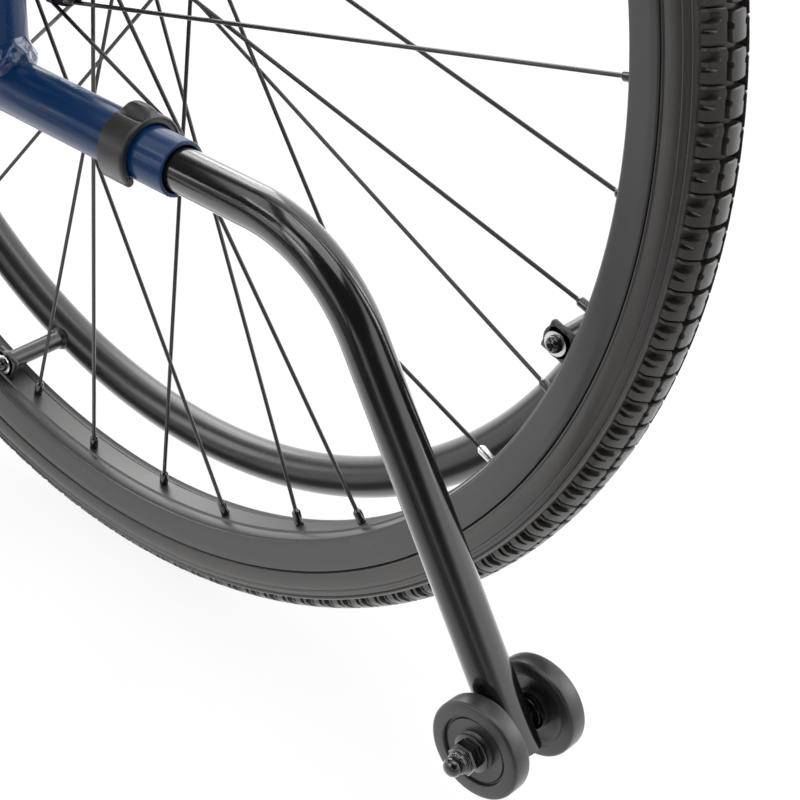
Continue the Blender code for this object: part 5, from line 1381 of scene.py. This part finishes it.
def makeRibTree():
    # Raised grip bars spaced evenly along a line of the footplate
    tree, entry, output = newTree("gripBars", [("Count", "Int", 9), ("Length", "Float", 0.09),
                                               ("Span", "Float", 0.1)])
    step = addMath(tree, "DIVIDE", entry["Span"], addMath(tree, "SUBTRACT", entry["Count"], 1.0))
    offset = addNode(tree, "ShaderNodeCombineXYZ", {"Z": step})
    line = addNode(tree, "GeometryNodeMeshLine", {"Count": entry["Count"], "Offset": offset[0]})
    size = addNode(tree, "ShaderNodeCombineXYZ", {"X": 0.0012, "Y": entry["Length"], "Z": 0.0026})
    bar = addNode(tree, "GeometryNodeMeshCube", {"Size": size[0]})
    laid = addNode(tree, "GeometryNodeInstanceOnPoints", {"Points": line["Mesh"], "Instance": bar["Mesh"]})
    return endTree(tree, laid[0], entry, output)


def buildFootplate():
    sizes = plateSizes
    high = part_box("right_footplate")[1]
    middle, bottom, top = frameX + sizes["drop"], plateBarrel.z - 0.006, high.z
    front, back = plateFront, plateFront + sizes["depth"]
    outline = [(front, bottom + 0.02), (front, top - 0.03), (front + 0.03, top), (back - 0.01, top),
               (back, top - 0.01),
               (back, bottom), (front + 0.02, bottom)]
    outline = flatPath(outline, [0.010, 0.014, 0.014, 0.006, 0.006, 0.003, 0.010])
    ribs = grow("ribs", grainedPlastic, linked("ribs", bpy.data.meshes.new("ribs")), makeRibTree(),
                {"Count": sizes["ribs"], "Length": sizes["ribLength"], "Span": sizes["ribSpan"]})
    ribPlace = (middle + sizes["thickness"] / 2 - 0.0001, (front + back) / 2, bottom + 0.030)
    start, stop = front + sizes["knuckleAhead"], plateBarrel.y - 0.0105
    return gather("rightFootplate", [
        sheetPlate("plate", grainedPlastic, outline, middle, sizes["thickness"], 0.0014, 3),
        moved(ribs, Matrix.Translation(ribPlace)),
        lathe("knuckle", grainedPlastic, disc(0.0119, start, stop, 0.0005, 0.0084),
              (frameX, 0, plateBarrel.z), "Y", 48, True),
        block("web", grainedPlastic, (frameX + 0.0095, start, plateBarrel.z - 0.0058),
              (middle, stop, plateBarrel.z + 0.0058), 0.0008)])


# Cross brace

braceSizes = {"sleeve": 0.0139, "length": 0.030, "railBack": 0.030, "railFront": 0.415, "weld": 0.0021}


def buildBrace(name, y, sign):
    # One arm with its foot sleeve and seat rail; sign is the foot's side
    sizes = braceSizes
    foot, top = Vector((sign * -frameX, y, lowerZ)), Vector((-sign * abs(railX), y, railZ))
    run, half = (top - foot).normalized(), sizes["length"] / 2
    back, front = axleY - sizes["railBack"], axleY - sizes["railFront"]
    sleeve = disc(sizes["sleeve"], -half, half, 0.0006, tubeRadius + 0.0004)
    pieces = [tube("arm", bluePaint, [foot + run * (tubeRadius + 0.0015), top], tubeSize),
              lathe("sleeve", bluePaint, sleeve, foot, "Y", 56, True),
              tube("rail", bluePaint, [(top.x, back - 0.0008, top.z), (top.x, front + 0.0008, top.z)],
                   tubeSize)]
    plug = [(0, 0), (0.0102, 0), (0.0112, -0.0009), (0.0112, -0.0030), (0, -0.0030)]
    for end, way in ((back, 1), (front, -1)):
        pieces.append(spindle("plug", grainedPlastic, plug, (top.x, end, top.z), (0, way, 0), 48))
    pieces += [weldBead(crossing(top, -ahead, -run), sizes["weld"], 11),
               weldBead(crossing(foot, -ahead, run, 0.0026), sizes["weld"], 13)]
    return gather(name, pieces)


def buildCentrePin():
    low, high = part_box("centre_pin")
    middle = Vector((crossPin.x, (low.y + high.y) / 2, crossPin.z))
    reach = (high.y - low.y) / 2 - 0.004
    pin = [(0, -reach - 0.0039), (0.0055, -reach - 0.0036), (0.0076, -reach - 0.0022), (0.0079, -reach),
           (0.0049, -reach),
           (0.0049, reach), (0.0079, reach), (0.0079, reach + 0.0008), (0, reach + 0.0008)]
    return gather("centrePin", [lathe("pin", brightSteel, pin, middle, "Y", 48),
                                hexNut(0.0136, 0.0032, brightSteel, middle - ahead * (reach + 0.0008),
                                       -ahead)])


print("scene: handles, arms and locks")
fitBoth(buildGrip(), "frame", "grip_rubber", "handgrip")
fitBoth(buildSeatGuide("rightSeatGuideRear", "seat_guide_rear"), "frame", "black_plastic", "seat_guide_rear")
fitBoth(buildSeatGuide("rightSeatGuideFront", "seat_guide_front"), "frame", "black_plastic",
        "seat_guide_front")
fitBoth(buildArmTube(), "arm", "frame_blue", "arm_tube")
fitBoth(buildSideGuard(), "arm", "black_plastic", "side_guard")
fitBoth(buildBrakeMount(), "frame", "black_metal", "brake_mount")
fitBoth(buildBrakeLever(), "lever", "black_metal", "brake_lever")
fitBoth(buildBrakeShoe(), "shoe", "black_metal", "brake_shoe")
pad = buildArmPad()
padLeft = mirrorOf(pad, "leftArmPad")
for piece, side in ((pad, "right"), (padLeft, "left")):
    fitTo(piece, side + "_arm", "pad_vinyl", side + "_arm_pad")
print("scene: front castors and footrests")
fitBoth(buildFork(), "fork", "black_metal", "castor_fork")
fitBoth(buildCastorWheel(), "castor", "castor_rubber", "castor_wheel")
fitBoth(buildCastorAxle(), "fork", "bright_steel", "castor_axle")
fitBoth(buildHanger(), "front_hanger", "frame_blue", "hanger")
fitBoth(buildFootrestTube(), "footrest", "black_metal", "footrest_tube")
fitBoth(buildFootplate(), "plate", "black_plastic", "footplate")
print("scene: cross brace")
fitTo(buildBrace("braceRear", footPin.y, -1), "brace_rear", "frame_blue", "brace_a")
fitTo(buildBrace("braceFront", jointAt["fold_left_frame"].y, 1), "brace_front", "frame_blue", "brace_b")
fitTo(buildCentrePin(), "brace_rear", "bright_steel", "centre_pin")
for side in ("right", "left"):
    spring = frame["nodes"][side + "_snap_spring"]
    spring.data.materials.clear()
    spring.data.materials.append(brightSteel)


# Seat and back cloth

def faceAt(place, s, t, reach=0.002):
    # Direction square to a surface place(across, along)
    across = place(min(s + reach, 1), t) - place(max(s - reach, 0), t)
    return across.cross(place(s, min(t + reach, 1)) - place(s, max(t - reach, 0))).normalized()


def clothSheet(name, place, thickness, counts, lengths):
    # A closed sheet of cloth about a surface, with its own UV map in metres
    across, lengthwise = counts
    points, spots = [], []
    for i in range(across + 1):
        for j in range(lengthwise + 1):
            s, t = i * (1 / across), j * (1 / lengthwise)
            deep = faceAt(place, s, t) * thickness(s, t) / 2
            points += [place(s, t) + deep, place(s, t) - deep]
            spots += [(s * lengths[0], t * lengths[1])] * 2
    row = 2 * (lengthwise + 1)
    faces = []
    for i in range(across):
        for j in range(lengthwise):
            a, b = i * row + 2 * j, (i + 1) * row + 2 * j
            faces += [[a, b, b + 2, a + 2], [a + 3, b + 3, b + 1, a + 1]]
    edge = [i * row for i in range(across)] + [across * row + 2 * j for j in range(lengthwise)]
    edge += [i * row + 2 * lengthwise for i in range(across, 0, -1)]
    edge += [2 * j for j in range(lengthwise, 0, -1)]
    faces += [[start, start + 1, stop + 1, stop] for start, stop in zip(edge, edge[1:] + edge[:1])]
    piece = shapeFrom(name, nylonCloth, points, faces, 60)
    layer = piece.data.uv_layers.new(name="UVMap")
    for loop in piece.data.loops:
        layer.data[loop.index].uv = spots[loop.vertex_index]
    return piece


def makeStitchTree():
    # Short thread stitches end to end along a path
    tree, entry, output = newTree("stitches", [("Pitch", "Float", 0.0046), ("Radius", "Float", 0.00045)])
    line = addNode(tree, "GeometryNodeMeshToCurve", {"Mesh": entry["Geometry"]})
    spots = addNode(tree, "GeometryNodeCurveToPoints", {"Curve": line[0], "Length": entry["Pitch"]},
                    mode="LENGTH")
    ball = addNode(tree, "GeometryNodeMeshUVSphere", {"Segments": 8, "Rings": 5, "Radius": entry["Radius"]})
    laid = addNode(tree, "GeometryNodeInstanceOnPoints", {"Points": spots["Points"], "Instance": ball["Mesh"],
                                                          "Rotation": spots["Rotation"],
                                                          "Scale": (1.0, 1.0, 3.2)})
    return endTree(tree, laid[0], entry, output)


stitchTree = makeStitchTree()


def stitchLine(place, thickness, start, stop, side):
    # A seam on one face of a sheet, between two spots given as shares of its width and length
    path = []
    for index in range(121):
        s, t = [first + (last - first) * index / 120 for first, last in zip(start, stop)]
        path.append(place(s, t) + faceAt(place, s, t) * side * (thickness(s, t) / 2 + 0.0001))
    return grow("seam", threadGrey, lineObject("seam", path), stitchTree,
                {"Pitch": 0.0046, "Radius": 0.00045})


def hemThickness(sizes, length):
    # Thickness along a cloth with a hem at each end and a sunk row where it is sewn
    def thickness(s, t):
        near = min(t, 1 - t) * length
        if near < 0.0009:
            return sizes["hem"] * 0.55
        if near < sizes["hemWidth"]:
            return sizes["hem"] - (0.0009 if abs(near - sizes["hemWidth"] + 0.003) < 0.0012 else 0)
        return sizes["cloth"]
    return thickness


seatSizes = {"sag": 0.0160, "cloth": 0.0026, "hem": 0.0042, "hemWidth": 0.022, "wrap": 58.0, "back": 0.050,
             "front": 0.410,
             "seams": (0.030, 0.072, 0.928, 0.970), "seamGap": 0.012}
seatBack, seatFront = axleY - seatSizes["back"], axleY - seatSizes["front"]
seatWrap = tubeRadius + seatSizes["cloth"]
seatArc = seatWrap * radians(seatSizes["wrap"])
seatSpan = 2 * abs(railX)
seatWidth, seatLength = seatSpan + 0.0035 + 2 * seatArc, seatBack - seatFront


def seatPlace(s, t):
    # A point of the seat cloth: round one rail, down in a sag between them, and round the other
    reach = (s - 0.5) * (seatSpan + 2 * seatArc)
    y = seatBack + (seatFront - seatBack) * t
    half = seatSpan / 2
    if abs(reach) <= half:
        share = reach / half
        firm = 1 - 0.12 * (1 - sin(pi * t)) ** 2
        ripple = 0.0007 * sin(90.0 * y + 3 * share) * (1 - share * share)
        ripple += 0.0005 * sin(37.0 * share + y * 60.0) * (1 - share ** 4)
        return Vector((reach, y, railZ + seatWrap - seatSizes["sag"] * firm * (1 - share * share) + ripple))
    turn = (abs(reach) - half) / seatWrap
    sign = 1 if reach > 0 else -1
    return Vector((sign * (half + seatWrap * sin(turn)), y, railZ + seatWrap * cos(turn)))


def buildSeatCloth():
    sizes = seatSizes
    thickness = hemThickness(sizes, seatLength)
    cloth = clothSheet("seatCloth", seatPlace, thickness, (84, 96), (seatWidth, seatLength))
    hem, gap = (sizes["hemWidth"] - 0.003) / seatLength, sizes["seamGap"]
    seams = [((0.02, share), (0.98, share)) for share in (hem, hem + gap, 1 - hem - gap, 1 - hem)]
    seams += [((share, 0.01), (share, 0.99)) for share in sizes["seams"]]
    return cloth, gather("seatSeams", [stitchLine(seatPlace, thickness, start, stop, -1) for start,
                                       stop in seams])


backSizes = {"sag": 0.022, "cloth": 0.0022, "hem": 0.0034, "hemWidth": 0.020, "low": 0.155, "high": 0.440,
             "loop": 0.0131, "meet": 0.026, "lift": 0.0052, "loopSteps": 24, "seamGap": 0.014,
             "loopSeams": (0.004, 0.012)}


def backLine():
    # The back cloth seen from above, from one sewn overlap round both canes to the other
    sizes = backSizes
    loop, meet, lift = sizes["loop"], sizes["meet"], sizes["lift"]
    cloth, steps = sizes["cloth"], sizes["loopSteps"]
    tilt, fan = atan2(lift, meet), acos(loop / sqrt(meet * meet + lift * lift))
    span = abs(frameX)
    side = [(meet + 0.014, lift + 0.0024 - cloth), (meet + 0.001, lift - cloth)]
    for step in range(steps + 1):
        angle = tilt - fan - step * (2 * pi - 2 * fan) / steps
        side.append((loop * cos(angle), loop * sin(angle)))
    side.append((meet, lift))
    line = [Vector((-span + x, axleY + y, 0)) for x, y in side]
    for step in range(1, 30):
        share = -1 + 2 * step / 30
        line.append(Vector(((span - meet) * share, axleY + lift + (sizes["sag"] - lift) * (1 - share * share),
                            0)))
    return line + [Vector((-point.x, point.y, 0)) for point in reversed(line[:len(side)])]


backPath = backLine()
backRun = [0.0]
for before, after in zip(backPath, backPath[1:]):
    backRun.append(backRun[-1] + (after - before).length)
backLow, backHigh = upperZ + backSizes["low"], upperZ + backSizes["high"]
backWidth, backLength = backRun[-1], backHigh - backLow


def backPlace(s, t):
    reach = s * backWidth
    index = 1
    while index < len(backRun) - 1 and backRun[index] < reach:
        index += 1
    share = (reach - backRun[index - 1]) / (backRun[index] - backRun[index - 1])
    spot = backPath[index - 1].lerp(backPath[index], share)
    middle = max(1 - (spot.x / (frameX + backSizes["meet"])) ** 2, 0.0)
    z = backLow + (backHigh - backLow) * t
    ripple = 0.0010 * sin(z * 70.0 + spot.x * 8) + 0.0008 * sin(spot.x * 95.0 + z * 11)
    ripple -= 0.004 * (2 * t - 1) ** 2
    return Vector((spot.x, spot.y + middle * ripple, z))


def buildBackCloth():
    sizes = backSizes
    thickness = hemThickness(sizes, backLength)
    cloth = clothSheet("backCloth", backPlace, thickness, (150, 72), (backWidth, backLength))
    hem, gap = (sizes["hemWidth"] - 0.003) / backLength, sizes["seamGap"]
    seams = [((0.17, share), (0.83, share)) for share in (hem, hem + gap, 1 - hem - gap, 1 - hem)]
    for offset in sizes["loopSeams"]:
        first = (backRun[sizes["loopSteps"] + 3] + offset) / backWidth
        seams += [((share, 0.01), (share, 0.99)) for share in (first, 1 - first)]
    return cloth, gather("backSeams", [stitchLine(backPlace, thickness, start, stop, side) for start,
                                       stop in seams
                                       for side in (1, -1)])


print("scene: seat and back cloth")
seatCloth, seatSeams = buildSeatCloth()
backCloth, backSeams = buildBackCloth()
fitTo(seatCloth, "seat", "sling_cloth", "seat_sling")
fitTo(seatSeams, "seat", "sling_cloth")
fitTo(backCloth, "right_frame", "sling_cloth", "back_sling")
fitTo(backSeams, "right_frame", "sling_cloth")
for piece in (seatCloth, seatSeams):
    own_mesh(piece)
for piece in (backCloth, backSeams):
    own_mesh(piece)


# Floor, light and camera

studio = {
    "floorZ": -0.0016, "floorReach": 30.0,
    "lens": 90.65, "sensor": 36.0,
    "eye": wheelCentre + Vector((0.51766, 0.61524, 0.28332)),
    "right": (-0.67205, 0.73940, 0.04052),
    "up": (-0.37352, -0.38574, 0.84362),
    "view": (-0.63940, -0.55181, -0.53542),
    "world": 1.0, "shineWorld": 2.0, "shineFloor": (1.8, 0.2), "floorGlow": 0.90, "dim": 0.03,
    "dimSide": Vector((0.54, 0.46, 0.70)).normalized(),
    "target": (0.0, 0.0, 0.35),
    # (place, side of the square, power) of each lamp
    "lamps": {"leftBox": ((1.9, -0.4, 1.7), 1.4, 26), "frontBox": ((1.6, -1.9, 1.7), 1.8, 40),
              "topBox": ((-0.2, 0.6, 2.4), 1.8, 30), "rightBox": ((-1.9, 1.6, 1.2), 1.2, 18),
              "backBox": ((-1.7, -1.7, 1.7), 1.8, 45)},
}


def fadeAlong(tree, spot, direction, near, far, first, last):
    # A value that changes with the place along a direction
    toward = addNode(tree, "ShaderNodeVectorMath", {0: spot, 1: direction}, operation="DOT_PRODUCT")
    return addNode(tree, "ShaderNodeMapRange", {"Value": toward["Value"], "From Min": near, "From Max": far,
                                                "To Min": first, "To Max": last})[0]


def buildFloor():
    reach, z = studio["floorReach"], studio["floorZ"]
    mesh = bpy.data.meshes.new("floor")
    mesh.from_pydata([(-reach, -reach, z), (reach, -reach, z), (reach, reach, z), (-reach, reach, z)], [],
                     [(0, 1, 2, 3)])
    material = bpy.data.materials.new("paleFloor")
    material.use_nodes = True
    tree = material.node_tree
    tree.nodes.clear()
    path = addNode(tree, "ShaderNodeLightPath")
    where = addNode(tree, "ShaderNodeTexCoord")["Object"]
    seen = addMath(tree, "MAXIMUM", path["Is Camera Ray"], path["Is Glossy Ray"])
    seen = addMath(tree, "MAXIMUM", seen, path["Is Transmission Ray"])
    fade = fadeAlong(tree, where, (0.76, 0.65, 0.0), 0.05, 0.60, *studio["shineFloor"])
    level = addNode(tree, "ShaderNodeMix", {"Factor": path["Is Glossy Ray"], "A": 1.0, "B": fade})
    matte = addNode(tree, "ShaderNodeBsdfDiffuse", {"Color": colour(0.90)})
    glow = addNode(tree, "ShaderNodeEmission", {"Color": colour(1.0), "Strength": level[0]})
    mix = addNode(tree, "ShaderNodeMixShader", {"Fac": addMath(tree, "MULTIPLY", seen, studio["floorGlow"]),
                                                1: matte[0], 2: glow[0]})
    addNode(tree, "ShaderNodeOutputMaterial", {"Surface": mix[0]})
    mesh.materials.append(material)
    linked("floor", mesh)


def buildWorld():
    world = bpy.data.worlds.new("studio")
    bpy.context.scene.world = world
    world.use_nodes = True
    tree = world.node_tree
    tree.nodes.clear()
    path = addNode(tree, "ShaderNodeLightPath")
    where = addNode(tree, "ShaderNodeTexCoord")["Generated"]
    dim = fadeAlong(tree, where, studio["dimSide"], 0.66, 0.80, studio["world"], studio["dim"])
    gain = addNode(tree, "ShaderNodeMapRange", {"Value": path["Is Glossy Ray"], "To Min": 1.0,
                                                "To Max": studio["shineWorld"]})
    soft = addNode(tree, "ShaderNodeBackground", {"Color": colour(1.0),
                                                  "Strength": addMath(tree, "MULTIPLY", dim, gain[0])})
    plain = addNode(tree, "ShaderNodeBackground", {"Color": colour(1.0), "Strength": 1.0})
    mix = addNode(tree, "ShaderNodeMixShader", {"Fac": path["Is Camera Ray"], 1: soft[0], 2: plain[0]})
    addNode(tree, "ShaderNodeOutputWorld", {"Surface": mix[0]})


def addLamp(name, place, size, power):
    data = bpy.data.lights.new(name, "AREA")
    data.shape = "RECTANGLE"
    data.size = data.size_y = size
    data.energy = power
    lamp = linked(name, data)
    lamp.location = place
    lamp.rotation_euler = (Vector(studio["target"]) - Vector(place)).to_track_quat("-Z", "Y").to_euler()


def addCamera():
    data = bpy.data.cameras.new("camera")
    data.lens, data.sensor_width = studio["lens"], studio["sensor"]
    data.sensor_fit, data.clip_start = "HORIZONTAL", 0.01
    camera = linked("camera", data)
    turn = Matrix((studio["right"], studio["up"], -Vector(studio["view"]))).transposed()
    camera.matrix_world = Matrix.Translation(studio["eye"]) @ turn.to_4x4()
    bpy.context.scene.camera = camera


print("scene: floor, light and camera")
buildFloor()
buildWorld()
for name, (place, size, power) in studio["lamps"].items():
    addLamp(name, place, size, power)
addCamera()
bpy.context.scene.view_settings.view_transform = "Standard"
